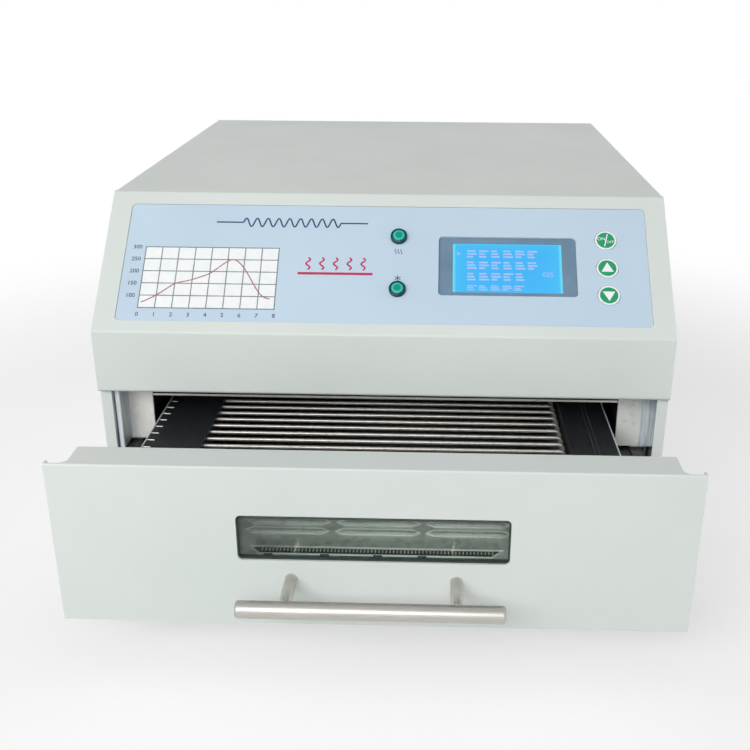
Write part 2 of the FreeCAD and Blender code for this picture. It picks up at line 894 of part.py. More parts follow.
def make_power_supply():
    low = "shield_z + power_lift"
    top = f"{low} + board_thick"
    keep(box("power_board", ("power_left", "power_right"), ("power_front", "power_back"), (low, top)))
    core_z = (top, f"{top} + core_high")
    core = box("transformer_core", ("core_left", "core_right"), ("core_front", "core_back"), core_z)
    winding_x = ("core_left + winding_inset", "core_right - winding_inset")
    winding_y = ("core_front - winding_proud", "core_back + winding_proud")
    winding_z = (f"{top} + winding_proud", f"{top} + core_high - winding_proud")
    winding = box("transformer_winding", winding_x, winding_y, winding_z)
    keep(fuse("transformer", [core, winding]))
    sink_y = ("sink_front", "sink_back")
    fins = [box("heatsink_base", ("sink_left", "sink_right"), sink_y, (top, f"{top} + sink_base"))]
    pitch = "(sink_right - sink_left - fin_thick) / (fin_count - 1)"
    for index in range(int(number("fin_count"))):
        x = f"sink_left + {index} * {pitch}"
        fin_z = (f"{top} + sink_base / 2", f"{top} + sink_high")
        fins.append(box(f"heatsink_fin_{index}", (x, f"{x} + fin_thick"), sink_y, fin_z))
    keep(fuse("heatsink", fins))


# Drawer opening and heating chamber

def make_side_frames():
    """Folded zinc-coated plates on each side of the opening, seen from above."""
    strip = "(frame_inner + strip_width)"
    rib = "(frame_inner + groove_end)"
    edge = f"({HALF} - skin - gap)"
    groove = "frame_y + groove_depth"
    step = "frame_y + rib_step"
    rear = "frame_y + frame_return"
    for hand, side in SIDES:
        path = [
            ("frame_inner", "chamber_front"),
            ("frame_inner", "frame_y"),
            (f"{strip} + skin", "frame_y"),
            (f"{strip} + skin", groove),
            (rib, groove),
            (rib, step),
            (edge, step),
            (edge, rear),
            (f"{edge} - skin", rear),
            (f"{edge} - skin", f"{step} + skin"),
            (f"{rib} + skin", f"{step} + skin"),
            (f"{rib} + skin", f"{groove} + skin"),
            (strip, f"{groove} + skin"),
            (strip, "frame_y + skin"),
            ("frame_inner + skin", "frame_y + skin"),
            ("frame_inner + skin", "chamber_front"),
        ]
        corners = [(f"{side} * ({across})", deep) for across, deep in path]
        keep(folded(f"side_frame_{hand}", "xy", corners, ("frame_low", "fascia_z - fit")))


def make_heat_shield():
    """One sheet: lintel over the opening, floor under the console, front wall of the chamber."""
    corners = [
        ("frame_y", "lintel_low"),
        ("frame_y + skin", "lintel_low"),
        ("frame_y + skin", "shield_z"),
        ("chamber_front + skin", "shield_z"),
        ("chamber_front + skin", "chamber_top"),
        ("chamber_front", "chamber_top"),
        ("chamber_front", "shield_z + skin"),
        ("frame_y", "shield_z + skin"),
    ]
    inner = "(frame_inner - shield_play)"
    keep(folded("heat_shield", "yz", corners, (f"-{inner}", inner)))


def tube_spots():
    return [f"tube_first + {index} * tube_pitch" for index in range(int(number("tube_count")))]


PROBES = ("probe_front", "probe_back")


def make_chamber():
    front = "chamber_front + skin + fit"
    walls = []
    for hand, side in SIDES:
        span = on_side(side, "frame_inner", "frame_inner + skin")
        wall = box(f"chamber_wall_{hand}", span, (front, "chamber_back"), ("frame_low", "chamber_top"))
        reach = on_side(side, "frame_inner - drill", "frame_inner + drill")
        holes = []
        for index, depth in enumerate(tube_spots()):
            name = f"chamber_hole_{hand}_{index}"
            holes.append(rod(name, "x", (depth, "tube_z"), reach, "tube_radius + gap"))
        if side > 0:
            for index, depth in enumerate(PROBES):
                holes.append(rod(f"probe_hole_{index}", "x", (depth, "fan_z"), reach, "probe_radius + gap"))
        walls.append(cut(f"chamber_side_{hand}", wall, holes))
    keep(group("chamber_walls", walls))
    across = ("-frame_inner - skin", "frame_inner + skin")
    plate_z = ("rear_wall_low", "chamber_top")
    back = box("chamber_back_plate", across, ("chamber_back", "chamber_back + skin"), plate_z)
    through = ("chamber_back - drill", "chamber_back + drill")
    hole = rod("chamber_back_hole", "y", (0, "fan_z"), through, "fan_hole - duct_step")
    keep(cut("chamber_rear_wall", back, [hole]))
    edge = "(frame_inner - shield_play)"
    flat = "(frame_inner - reflector_edge)"
    low = "chamber_top - reflector_drop"
    corners = [
        (f"-{edge}", f"{low} - reflector_sheet"),
        (f"-{flat}", "chamber_top - reflector_sheet"),
        (flat, "chamber_top - reflector_sheet"),
        (edge, f"{low} - reflector_sheet"),
        (edge, low),
        (flat, "chamber_top"),
        (f"-{flat}", "chamber_top"),
        (f"-{edge}", low),
    ]
    keep(folded("reflector", "xz", corners, (front, "chamber_back - fit")))
    wool_z = ("chamber_top + fit", "chamber_top + blanket")
    keep(box("insulation_blanket", across, ("chamber_front", "chamber_back + skin"), wool_z))


def make_heaters():
    """Quartz tubes across the chamber, with a filament in each and a ceramic cap on each end."""
    tubes, filaments, caps = [], [], []
    for index, depth in enumerate(tube_spots()):
        at = (depth, "tube_z")
        end = "(frame_inner + tube_past)"
        outer = rod(f"tube_outer_{index}", "x", at, (f"-{end}", end), "tube_radius")
        through = (f"-{end} - drill", f"{end} + drill")
        bore = rod(f"tube_bore_{index}", "x", at, through, "tube_radius - tube_wall")
        tubes.append(cut(f"tube_{index}", outer, [bore]))
        filaments.append(rod(f"filament_{index}", "x", at, (f"-{end}", end), "filament_radius"))
        for hand, side in SIDES:
            span = on_side(side, "frame_inner + skin", f"{end} + cap_past")
            cap = rod(f"cap_{hand}_{index}", "x", at, span, "cap_radius")
            seat_x = on_side(side, "frame_inner", end)
            seat = rod(f"cap_seat_{hand}_{index}", "x", at, seat_x, "tube_radius + tube_play")
            caps.append(cut(f"tube_cap_{hand}_{index}", cap, [seat]))
    keep(group("quartz_tubes", tubes))
    keep(group("heating_filaments", filaments))
    keep(group("tube_caps", caps))


def make_thermocouples():
    probes = []
    for index, depth in enumerate(PROBES):
        at = (depth, "fan_z")
        wall = "frame_inner + skin"
        stem = rod(f"probe_stem_{index}", "x", at, ("frame_inner - probe_reach", wall), "probe_radius")
        gland = rod(f"probe_gland_{index}", "x", at, (wall, f"{wall} + gland_length"), "gland_radius")
        probes.append(fuse(f"probe_{index}", [stem, gland]))
    keep(group("thermocouples", probes))


# Exhaust fan and mains fittings

def make_fan():
    front = f"{REAR_INNER} - fan_depth"
    half = "fan_size / 2"
    square = (f"-{half}", half)
    square_z = (f"fan_z - {half}", f"fan_z + {half}")
    duct = "(fan_size / 2 - duct_step)"
    reach = ("chamber_back + skin", front)
    sleeve = box("duct_block", (f"-{duct}", duct), reach, (f"fan_z - {duct}", f"fan_z + {duct}"))
    bore = f"({duct} - skin)"
    long_reach = ("chamber_back", f"{front} + drill")
    hollow = box("duct_bore", (f"-{bore}", bore), long_reach, (f"fan_z - {bore}", f"fan_z + {bore}"))
    keep(cut("fan_duct", sleeve, [hollow]))

    frame = box("fan_block", square, (front, REAR_INNER), square_z)
    through = (f"{front} - drill", f"{REAR_INNER} + drill")
    tools = [rod("fan_tunnel", "y", (0, "fan_z"), through, "fan_hole")]
    for index, (across, up) in enumerate(FAN_CORNERS):
        at = (f"{across} * fan_bolts", f"fan_z + {up} * fan_bolts")
        tools.append(rod(f"fan_bolt_{index}", "y", at, through, "screw_hole"))
    spider_y = (f"{REAR_INNER} - spider_depth", REAR_INNER)
    strut = "spider_width / 2"
    stator = rod("fan_stator", "y", (0, "fan_z"), (f"{REAR_INNER} - stator_depth", REAR_INNER), "fan_hub")
    upright = box("fan_strut_up", (f"-{strut}", strut), spider_y, (f"fan_z - {duct}", f"fan_z + {duct}"))
    level = box("fan_strut_level", (f"-{duct}", duct), spider_y, (f"fan_z - {strut}", f"fan_z + {strut}"))
    shell = fuse("fan_shell", [cut("fan_square", frame, tools), stator, upright, level])
    bore_y = (f"{REAR_INNER} - stator_depth - 1", f"{REAR_INNER} - 1")
    bearing = rod("fan_bearing", "y", (0, "fan_z"), bore_y, "shaft_radius + shaft_play")
    keep(cut("fan_frame", shell, [bearing]))
    make_impeller(front)


def make_impeller(front):
    """Hub, shaft and pitched blades, trimmed to a circle."""
    axis = (0, "fan_z")
    hub_y = (f"{front} + spider_depth", f"{REAR_INNER} - stator_depth - stator_gap")
    hub = rod("impeller_hub", "y", axis, hub_y, "fan_hub")
    shaft_y = (f"{front} + spider_depth + 1", f"{REAR_INNER} - shaft_end")
    shaft = rod("impeller_shaft", "y", axis, shaft_y, "shaft_radius")
    middle = number(f"fascia_y + ({front}) + (fan_depth - spider_depth) / 2")
    centre = Vector(0, middle, number("fan_z"))
    blades = []
    for index in range(int(number("blade_count"))):
        blade = doc.addObject("Part::Box", f"blade_{index}")
        bind(blade, "Length", "fan_tip - fan_hub + 2 * blade_root")
        bind(blade, "Width", "blade_width")
        bind(blade, "Height", "blade_sheet")
        inner = Vector(number("fan_hub - blade_root"), number("-blade_width / 2"), number("-blade_sheet / 2"))
        root = Placement(inner, Rotation())
        pitch = Placement(Vector(), Rotation(Vector(1, 0, 0), number("blade_pitch")))
        turn = Placement(centre, Rotation(Vector(0, 1, 0), 360 / number("blade_count") * index))
        blade.Placement = turn.multiply(pitch).multiply(root)
        blades.append(blade)
    sweep_y = (f"{front} + 1", f"{REAR_INNER} - spider_depth - 1")
    sweep = rod("impeller_sweep", "y", axis, sweep_y, "fan_tip")
    trimmed = doc.addObject("Part::Common", "impeller_trim")
    trimmed.Base = fuse("impeller_rough", [hub] + blades)
    trimmed.Tool = sweep
    keep(fuse("fan_impeller", [trimmed, shaft]))


def make_fan_guard():
    """Wire guard over the fan: rings laid on two crossed wires that end in screw eyes."""
    rings = []
    cross = []
    ring_y = f"{REAR_FACE} + gap + rear_proud - guard_wire"
    spoke_y = f"{ring_y} - 2 * guard_wire"
    for index in range(int(number("guard_count"))):
        ring = doc.addObject("Part::Torus", f"guard_ring_{index}")
        bind(ring, "Radius1", f"guard_first + guard_pitch * {index}")
        bind(ring, "Radius2", "guard_wire")
        ring.Placement = Placement(Vector(), TURNS["y"])
        place(ring, 0, ring_y, "fan_z")
        rings.append(ring)
    reach = "(fan_bolts * sqrt(2) - guard_eye + guard_wire / 2)"
    for index, angle in enumerate((45, 135)):
        spoke = doc.addObject("Part::Cylinder", f"guard_spoke_{index}")
        bind(spoke, "Radius", "guard_wire")
        bind(spoke, "Height", f"2 * {reach}")
        spoke.Placement = Placement(Vector(), Rotation(Vector(0, 1, 0), angle))
        sideways = math.sin(math.radians(angle))
        upwards = math.cos(math.radians(angle))
        place(spoke, f"-{reach} * {sideways}", spoke_y, f"fan_z - {reach} * ({upwards})")
        cross.append(spoke)
    for index, (across, up) in enumerate(FAN_CORNERS):
        at = (f"{across} * fan_bolts", f"fan_z + {up} * fan_bolts")
        eye_y = (REAR_FACE, f"{REAR_FACE} + guard_loop")
        eye = rod(f"guard_eye_{index}", "y", at, eye_y, "guard_eye")
        through = (f"{REAR_FACE} - drill", f"{REAR_FACE} + drill")
        hole = rod(f"guard_eye_hole_{index}", "y", at, through, "screw_hole")
        cross.append(cut(f"guard_loop_{index}", eye, [hole]))
    keep(group("fan_guard", rings + [fuse("guard_cross", cross)]))


def make_mains():
    outward = f"{REAR_FACE} + drill"
    flange_y = (REAR_FACE, f"{REAR_FACE} + inlet_flange")
    flange = centred("inlet_flange", "inlet_z", "inlet_flange_half", "inlet_flange_high", flange_y)
    body_y = (f"{REAR_FACE} - inlet_depth", REAR_FACE)
    body = centred("inlet_body", "inlet_z", "inlet_half", "inlet_high", body_y)
    floor_y = f"{REAR_FACE} - socket_depth"
    tools = [centred("inlet_socket", "inlet_z", "socket_half", "socket_high", (floor_y, outward))]
    for index, x in enumerate(INLET_SCREW_X):
        hole_y = (f"{REAR_FACE} - drill", outward)
        tools.append(rod(f"inlet_screw_hole_{index}", "y", (x, "inlet_z"), hole_y, "screw_hole"))
    keep(cut("power_inlet", fuse("inlet_shell", [flange, body]), tools))
    pins = []
    for index, (across, up) in enumerate(((-1, -1), (1, -1), (0, 1))):
        middle = f"inlet_x + pin_spread * ({across})"
        x = (f"{middle} - pin_half", f"{middle} + pin_half")
        level = f"inlet_z + pin_rise * ({up})"
        z = (f"{level} - pin_rise", f"{level} + pin_rise")
        pins.append(box(f"inlet_pin_{index}", x, (floor_y, f"{REAR_FACE} - pin_short"), z))
    keep(group("inlet_pins", pins))

    rim_y = (REAR_FACE, f"{REAR_FACE} + switch_rim")
    rim_half, rim_high = "switch_half + switch_rim * 0.75", "switch_high + switch_rim"
    rim = centred("switch_rim", "switch_z", rim_half, rim_high, rim_y)
    can_y = (f"{REAR_FACE} - switch_depth", REAR_FACE)
    can = centred("switch_can", "switch_z", "switch_half", "switch_high", can_y)
    well_y = (f"{REAR_FACE} - switch_well", outward)
    well = centred("switch_well", "switch_z", "switch_half - switch_wall", "switch_well_high", well_y)
    keep(cut("rocker_housing", fuse("switch_shell", [rim, can]), [well]))
    make_rocker()

    fuse_at = ("fuse_x", "inlet_z")
    collar_end = f"{REAR_FACE} + fuse_step"
    barrel = rod("fuse_barrel", "y", fuse_at, (f"{REAR_FACE} - fuse_depth", REAR_FACE), "fuse_radius")
    collar = rod("fuse_collar", "y", fuse_at, (REAR_FACE, collar_end), "fuse_collar")
    cap = rod("fuse_cap", "y", fuse_at, (collar_end, f"{REAR_FACE} + rear_proud"), "fuse_cap")
    keep(fuse("fuse_holder", [barrel, collar, cap]))


def make_rocker():
    """Rocker drawn round its pivot, then tipped to the off side."""
    corners = [
        ("-rocker_foot", "-rocker_foot_half"),
        ("rocker_tip", "-rocker_tip_half"),
        ("rocker_waist", 0),
        ("rocker_tip", "rocker_tip_half"),
        ("-rocker_foot", "rocker_foot_half"),
    ]
    body = folded("rocker", "yz", corners, ("inlet_x - rocker_half", "inlet_x + rocker_half"))
    body.Placement = Placement(Vector(), Rotation(Vector(1, 0, 0), number("rocker_tilt")))
    bind(body, "Placement.Rotation.Angle", "rocker_tilt")
    place(body, "inlet_x - rocker_half", f"{REAR_FACE} - rocker_pivot", "switch_z")
    keep(body)


# Mains harness from the back switch, along the left side over the heater caps, to the power board

HARNESS_ROUTE = (
    ("inlet_x", f"{REAR_FACE} - switch_depth", "switch_z"),
    ("inlet_x", f"{REAR_FACE} - 38", "switch_z"),
    (-128, "chamber_back + 14", 115),
    (-141, "chamber_back + 10", 137),
    (-156, "chamber_back + 9", 164),
    (-167, "chamber_back", 190),
    (-171, "chamber_back - 20", 211),
    (-171, "chamber_back - 58", 220),
    (-171, "chamber_back - 115", 222),
    (-170, "chamber_back - 170", 221),
    (-171, "chamber_front + 55", 222),
    (-172, "chamber_front + 14", 214),
    (-173, "chamber_front - 6", 195),
    (-173, "chamber_front - 18", 172),
    (-168, "chamber_front - 25", "shield_z + 7.8"),
    (-150, "chamber_front - 25", "shield_z + 7.8"),
)


def routed(points):
    """A path of straight runs joined by tangent arcs, each as large as its two runs allow."""
    edges, radii = [], []
    start = points[0]
    for before, corner, after in zip(points, points[1:], points[2:]):
        back = (before - corner).normalize()
        ahead = (after - corner).normalize()
        turn = math.pi - back.getAngle(ahead)
        reach = 0.45 * min((before - corner).Length, (after - corner).Length)
        radii.append(reach / math.tan(turn / 2))
        first = corner + back * reach
        last = corner + ahead * reach
        bisector = (back + ahead).normalize()
        middle = corner + bisector * (radii[-1] / math.cos(turn / 2) - radii[-1])
        edges.append(Part.LineSegment(start, first).toShape())
        edges.append(Part.Arc(first, middle, last).toShape())
        start = last
    edges.append(Part.LineSegment(start, points[-1]).toShape())
    return Part.Wire(edges), radii


def make_harness():
    points = []
    for x, y, z in HARNESS_ROUTE:
        points.append(Vector(number(x), number(f"fascia_y + ({y})"), number(z)))
    path, radii = routed(points)
    size = number("harness_radius")
    ring = Part.Circle(points[0], points[1] - points[0], size).toShape()
    tube = path.makePipeShell([Part.Wire([ring])], True, False)
    ratio = tube.Volume / (math.pi * size**2 * path.Length)
    print(f"harness: length {path.Length:.0f} mm, tightest bend {min(radii):.1f} mm")
    print(f"harness: volume over section times length {ratio:.3f}")
    harness = doc.addObject("Part::Feature", "mains_harness")
    harness.Shape = tube
    harness.Placement = Placement()
    keep(harness)


# Slides: an outer member on a bracket, a middle member, and an inner member on the drawer

def channel(name, side, web, lip_x, low, high, span):
    """A C-shaped member: web is the low and high x of its back, and its lips reach lip_x."""
    near_x, far_x = web
    thick = "slide_sheet"
    back, face = (near_x, far_x) if number(lip_x) > number(far_x) else (far_x, near_x)
    path = [
        (back, low),
        (lip_x, low),
        (lip_x, f"{low} + {thick}"),
        (face, f"{low} + {thick}"),
        (face, f"{high} - {thick}"),
        (lip_x, f"{high} - {thick}"),
        (lip_x, high),
        (back, high),
    ]
    corners = [(f"{side} * ({across})", up) for across, up in path]
    return folded(name, "xz", corners, span)


def slide_span(offset):
    start = f"slide_start + ({offset})"
    return start, f"{start} + slide_length"


def make_slides():
    brackets, outers, inners = [], [], []
    for hand, side in SIDES:
        wall = "(slide_outer_x + fit)"
        foot = "(slide_inner_x - bracket_foot)"
        floor = "(foot_height + skin)"
        path = [
            (f"{wall} + skin", floor),
            (f"{wall} + skin", "slide_high"),
            (wall, "slide_high"),
            (wall, f"{floor} + skin"),
            (foot, f"{floor} + skin"),
            (foot, floor),
        ]
        corners = [(f"{side} * ({across})", up) for across, up in path]
        reach = ("slide_start + bracket_setback", "slide_start + slide_length")
        brackets.append(folded(f"slide_bracket_{hand}", "xz", corners, reach))
        web = ("slide_outer_x - slide_sheet", "slide_outer_x")
        lips = "slide_inner_x + slide_sheet + slide_play / 2"
        low, high = "slide_low", "slide_high"
        outers.append(channel(f"slide_outer_{hand}", side, web, lips, low, high, slide_span(0)))
        web = ("slide_inner_x", "slide_inner_x + slide_sheet")
        lips = "slide_outer_x - slide_inner_lip"
        low, high = "(slide_low + slide_inner_step)", "(slide_high - slide_inner_step)"
        inners.append(channel(f"slide_inner_{hand}", side, web, lips, low, high, slide_span("drawer_y")))
        back = "(slide_outer_x - slide_sheet - slide_play)"
        web = (f"{back} - slide_sheet", back)
        lips = "slide_inner_x + slide_sheet + slide_play / 2"
        low, high = "(slide_low + slide_step)", "(slide_high - slide_step)"
        keep(channel(f"slide_middle_{hand}", side, web, lips, low, high, slide_span("drawer_y / 2")))
    keep(group("slide_brackets", brackets))
    keep(group("slide_outer_members", outers))
    keep(group("slide_inner_members", inners))


# Drawer

def make_drawer_front():
    """Painted front with a lip along its top and narrow returns on its other edges."""
    face = ("drawer_y", "drawer_y + front_sheet")
    sheets = [box("front_plate", (f"-{HALF}", HALF), face, ("drawer_low", "drawer_top"))]
    for hand, side in SIDES:
        edge = on_side(side, f"{HALF} - front_sheet", HALF)
        depth = ("drawer_y", "drawer_y + side_return")
        sheets.append(box(f"front_return_{hand}", edge, depth, ("drawer_low", "drawer_top")))
    under = ("drawer_y", "drawer_y + 2 * side_return")
    reach = f"({HALF} - post_width - console_inset)"
    between = (f"-{reach}", reach)
    sheets.append(box("front_return_low", between, under, ("drawer_low", "drawer_low + front_sheet")))
    lip_y = ("drawer_y", "drawer_y + lip_depth")
    lip_z = ("drawer_top - front_sheet", "drawer_top")
    sheets.append(box("front_lip", ("-lip_half", "lip_half"), lip_y, lip_z))
    front, top = number("drawer_y"), number("drawer_top")
    bent = rounded(
        "front_bent",
        fuse("front_sheets", sheets),
        "front_bend",
        lambda middle, direction: abs(direction.x) > 0.999
        and near(middle.y, front)
        and near(middle.z, top),
    )
    lip_end, plate_back = number("lip_half"), number("drawer_y + front_sheet")
    relieved = rounded(
        "front_relieved",
        bent,
        "lip_relief",
        lambda middle, direction: abs(direction.z) > 0.999
        and near(abs(middle.x), lip_end)
        and near(middle.y, plate_back),
    )
    through = ("drawer_y - drill", "drawer_y + drill")
    window_z = ("window_low", "window_high")
    window = box("front_window_block", ("-window_half", "window_half"), through, window_z)
    tools = [rounded("front_window", window, "window_corner", runs_along(Vector(0, 1, 0)))]
    for hand, side in SIDES:
        at = (f"{side} * handle_post_x", "bar_z")
        tools.append(rod(f"front_screw_hole_{hand}", "y", at, through, "screw_hole"))
    keep(cut("drawer_front", relieved, tools))


def window_frame(name, start, thick, margin, inset):
    """A flat frame behind the window, wider than it by margin and open to inset inside its edge."""
    depth = (start, f"{start} + {thick}")
    outer_x = f"(window_half + {margin})"
    inner_x = f"(window_half - {inset})"
    plate_z = (f"window_low - {margin}", f"window_high + {margin}")
    plate = box(f"{name}_plate", (f"-{outer_x}", outer_x), depth, plate_z)
    through = (f"{start} - drill", f"{start} + {thick} + drill")
    hole_z = (f"window_low + {inset}", f"window_high - {inset}")
    hole = box(f"{name}_hole", (f"-{inner_x}", inner_x), through, hole_z)
    keep(cut(name, plate, [hole]))


def make_window():
    sheet_back = "drawer_y + front_sheet"
    window_frame("window_seal", sheet_back, "seal_thick", "glass_margin", "seal_inset")
    glass_y = (f"{sheet_back} + seal_thick", f"{sheet_back} + seal_thick + glass_thick")
    edge = "(window_half + glass_margin)"
    glass_z = ("window_low - glass_margin", "window_high + glass_margin")
    keep(box("window_glass", (f"-{edge}", edge), glass_y, glass_z))
    window_frame("window_retainer", glass_y[1], "skin", "retainer_margin", 0)


def make_drawer_box():
    plate_x = ("-pan_half + shield_side", "pan_half - shield_side")
    plate_z = ("pan_floor - skin", "drawer_top - front_sheet")
    plate = box("inner_plate", plate_x, (SHIELD_Y, PAN_START), plate_z)
    through = (f"{SHIELD_Y} - drill", f"{SHIELD_Y} + drill")
    view_x = ("-window_half - view_side", "window_half + view_side")
    view_z = ("window_low - view_low", "window_high + view_high")
    keep(cut("inner_shield", plate, [box("inner_view", view_x, through, view_z)]))
    start = PAN_START
    span = (start, f"{start} + pan_length")
    lip = "(pan_half - pan_flange)"
    low = "(pan_floor - 2 * skin - fit)"
    path = [
        ("pan_half", low),
        ("pan_half", "pan_top"),
        (lip, "pan_top"),
        (lip, "pan_top - skin"),
        ("pan_half - skin", "pan_top - skin"),
        ("pan_half - skin", f"{low} + skin"),
        (lip, f"{low} + skin"),
        (lip, low),
    ]
    rails = []
    for hand, side in SIDES:
        corners = [(f"{side} * ({across})", up) for across, up in path]
        rails.append(folded(f"drawer_side_{hand}", "xz", corners, span))
    keep(group("drawer_sides", rails))
    end = f"({start} + pan_length)"
    corners = [
        (start, "pan_floor - skin"),
        (end, "pan_floor - skin"),
        (end, "pan_floor + pan_flange"),
        (f"{end} - skin", "pan_floor + pan_flange"),
        (f"{end} - skin", "pan_floor"),
        (f"{start} + skin", "pan_floor"),
        (f"{start} + skin", "pan_floor + pan_flange / 2"),
        (start, "pan_floor + pan_flange / 2"),
    ]
    half = "(pan_half - skin - fit)"
    keep(folded("drawer_floor", "yz", corners, (f"-{half}", half)))


def rod_spots():
    return [f"drawer_y + rod_first + {index} * rod_pitch" for index in range(int(number("rod_count")))]


def make_rack():
    """Black tray of two shelves tied by cross bars, and the rods that bridge them."""
    top, under, seat = "tray_z", "tray_z - skin", "pan_top + fit"
    ledge = "tray_ledge"
    left_path = [
        ("-tray_half", seat),
        ("-tray_half", top),
        ("tray_left", top),
        ("tray_left", ledge),
        ("tray_left - skin", ledge),
        ("tray_left - skin", under),
        ("-tray_half + skin", under),
        ("-tray_half + skin", seat),
    ]
    right_path = [
        ("tray_half", seat),
        ("tray_half", top),
        ("tray_right", top),
        ("tray_right", ledge),
        ("tray_right - tray_ledge_width", ledge),
        ("tray_right - tray_ledge_width", f"{ledge} - skin"),
        ("tray_right + skin", f"{ledge} - skin"),
        ("tray_right + skin", under),
        ("tray_half - skin", under),
        ("tray_half - skin", seat),
    ]
    start = "(drawer_y + lip_depth + tray_play)"
    end = f"({start} + tray_length)"
    sheets = [
        folded("tray_shelf_left", "xz", left_path, (start, end)),
        folded("tray_shelf_right", "xz", right_path, (start, end)),
    ]
    for name, bar_y in (("front", (start, f"{start} + skin")), ("back", (f"{end} - skin", end))):
        across = ("-tray_half + skin / 2", "tray_half - skin / 2")
        sheets.append(box(f"tray_bar_{name}", across, bar_y, (seat, "rod_z - rod_radius - tray_play")))
    tools, rods = [], []
    slot_x = ("-tray_half + tray_slot_start", "-tray_half + tray_slot_end")
    slot_z = (f"{under} - fit", f"{top} + drill")
    hole_x = ("tray_left - 2 * skin", "tray_left + skin")
    for index, depth in enumerate(rod_spots()):
        slot_y = (f"{depth} - tray_slot_width / 2", f"{depth} + tray_slot_width / 2")
        tools.append(box(f"tray_slot_{index}", slot_x, slot_y, slot_z))
        tools.append(rod(f"tray_hole_{index}", "x", (depth, "rod_z"), hole_x, "rod_radius + rod_play"))
        rods.append(make_rod(index, depth))
    keep(cut("pcb_tray", fuse("tray_sheets", sheets), tools))
    keep(group("rack_rods", rods))


def make_rod(index, depth):
    """One rod: straight from the left edge of the tray, then bent down to a ledge at the right."""
    bend_x = "(tray_right - rod_elbow - rod_side_gap)"
    run_x = ("-tray_half + skin + fit", bend_x)
    straight = rod(f"rod_run_{index}", "x", (depth, "rod_z"), run_x, "rod_radius")
    corner = doc.addObject("Part::Torus", f"rod_bend_{index}")
    bind(corner, "Radius1", "rod_elbow")
    bind(corner, "Radius2", "rod_radius")
    corner.Angle3 = 90
    corner.Placement = Placement(Vector(), Rotation(Vector(1, 0, 0), 90))
    place(corner, bend_x, depth, "rod_z - rod_elbow")
    leg_z = ("tray_ledge", "rod_z - rod_elbow")
    leg = rod(f"rod_leg_{index}", "z", (f"{bend_x} + rod_elbow", depth), leg_z, "rod_radius")
    return fuse(f"rack_rod_{index}", [straight, corner, leg])


def make_handle():
    axis_y = "drawer_y - bar_standoff"
    posts, sockets, screws = [], [], []
    for hand, side in SIDES:
        at = (f"{side} * handle_post_x", "bar_z")
        span = (axis_y, "drawer_y")
        sockets.append(rod(f"bar_socket_{hand}", "y", at, span, "handle_post_radius"))
        post = rod(f"post_solid_{hand}", "y", at, span, "handle_post_radius")
        thread_y = ("drawer_y - handle_thread", "drawer_y + drill")
        thread = rod(f"post_thread_{hand}", "y", at, thread_y, "screw_radius")
        posts.append(cut(f"handle_post_{hand}", post, [thread]))
        seat = "drawer_y + front_sheet"
        head = rod(f"handle_screw_head_{hand}", "y", at, (seat, f"{seat} + handle_head"), "head_radius")
        shank_y = ("drawer_y - handle_thread + 1", seat)
        shank = rod(f"handle_screw_shank_{hand}", "y", at, shank_y, "screw_radius")
        screws.append(fuse(f"handle_screw_{hand}", [head, shank]))
    solid = rod("bar_solid", "x", (axis_y, "bar_z"), ("-bar_half", "bar_half"), "bar_radius")
    keep(cut("handle_bar", solid, sockets))
    keep(group("handle_posts", posts))
    keep(group("handle_screws", screws))


def check_and_write():
    """Stop on any failed object or bad solid, then write one file for each piece."""
    doc.recompute()
    failed = [thing.Label for thing in doc.Objects if {"Invalid", "Error"} & set(thing.State)]
    if failed:
        raise RuntimeError(f"failed objects: {failed}")
    for label, thing in nodes.items():
        if thing.Shape.isNull() or not thing.Shape.isValid() or not thing.Shape.Solids:
            raise RuntimeError(f"bad solid: {label}")
    whole = FreeCAD.BoundBox()
    for thing in nodes.values():
        whole.add(thing.Shape.BoundBox)
    print(f"{len(nodes)} pieces, x {whole.XMin:.2f} to {whole.XMax:.2f}, "
          f"y {whole.YMin:.2f} to {whole.YMax:.2f}, z {whole.ZMin:.2f} to {whole.ZMax:.2f}")
    os.makedirs("parts", exist_ok=True)
    for label, thing in nodes.items():
        print(f"{label}: {len(thing.Shape.Solids)} solids, {thing.Shape.Volume:.0f} mm3")
        thing.Shape.exportStep(f"parts/{label}.step")


make_cover()
make_base()
make_feet()
make_case_screws()
make_rear_panel()
make_rear_screws()
make_console()
make_overlay()
make_display()
make_lamps()
make_keys()
make_panel_boards()
make_standoffs()
make_power_supply()
make_side_frames()
make_heat_shield()
make_chamber()
make_heaters()
make_thermocouples()
make_fan()
make_fan_guard()
make_mains()
make_harness()
make_slides()
make_drawer_front()
make_window()
make_drawer_box()
make_rack()
make_handle()
check_and_write()
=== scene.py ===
import json
import math

import bmesh
import bpy
import numpy as np
from mathutils import Matrix, Vector

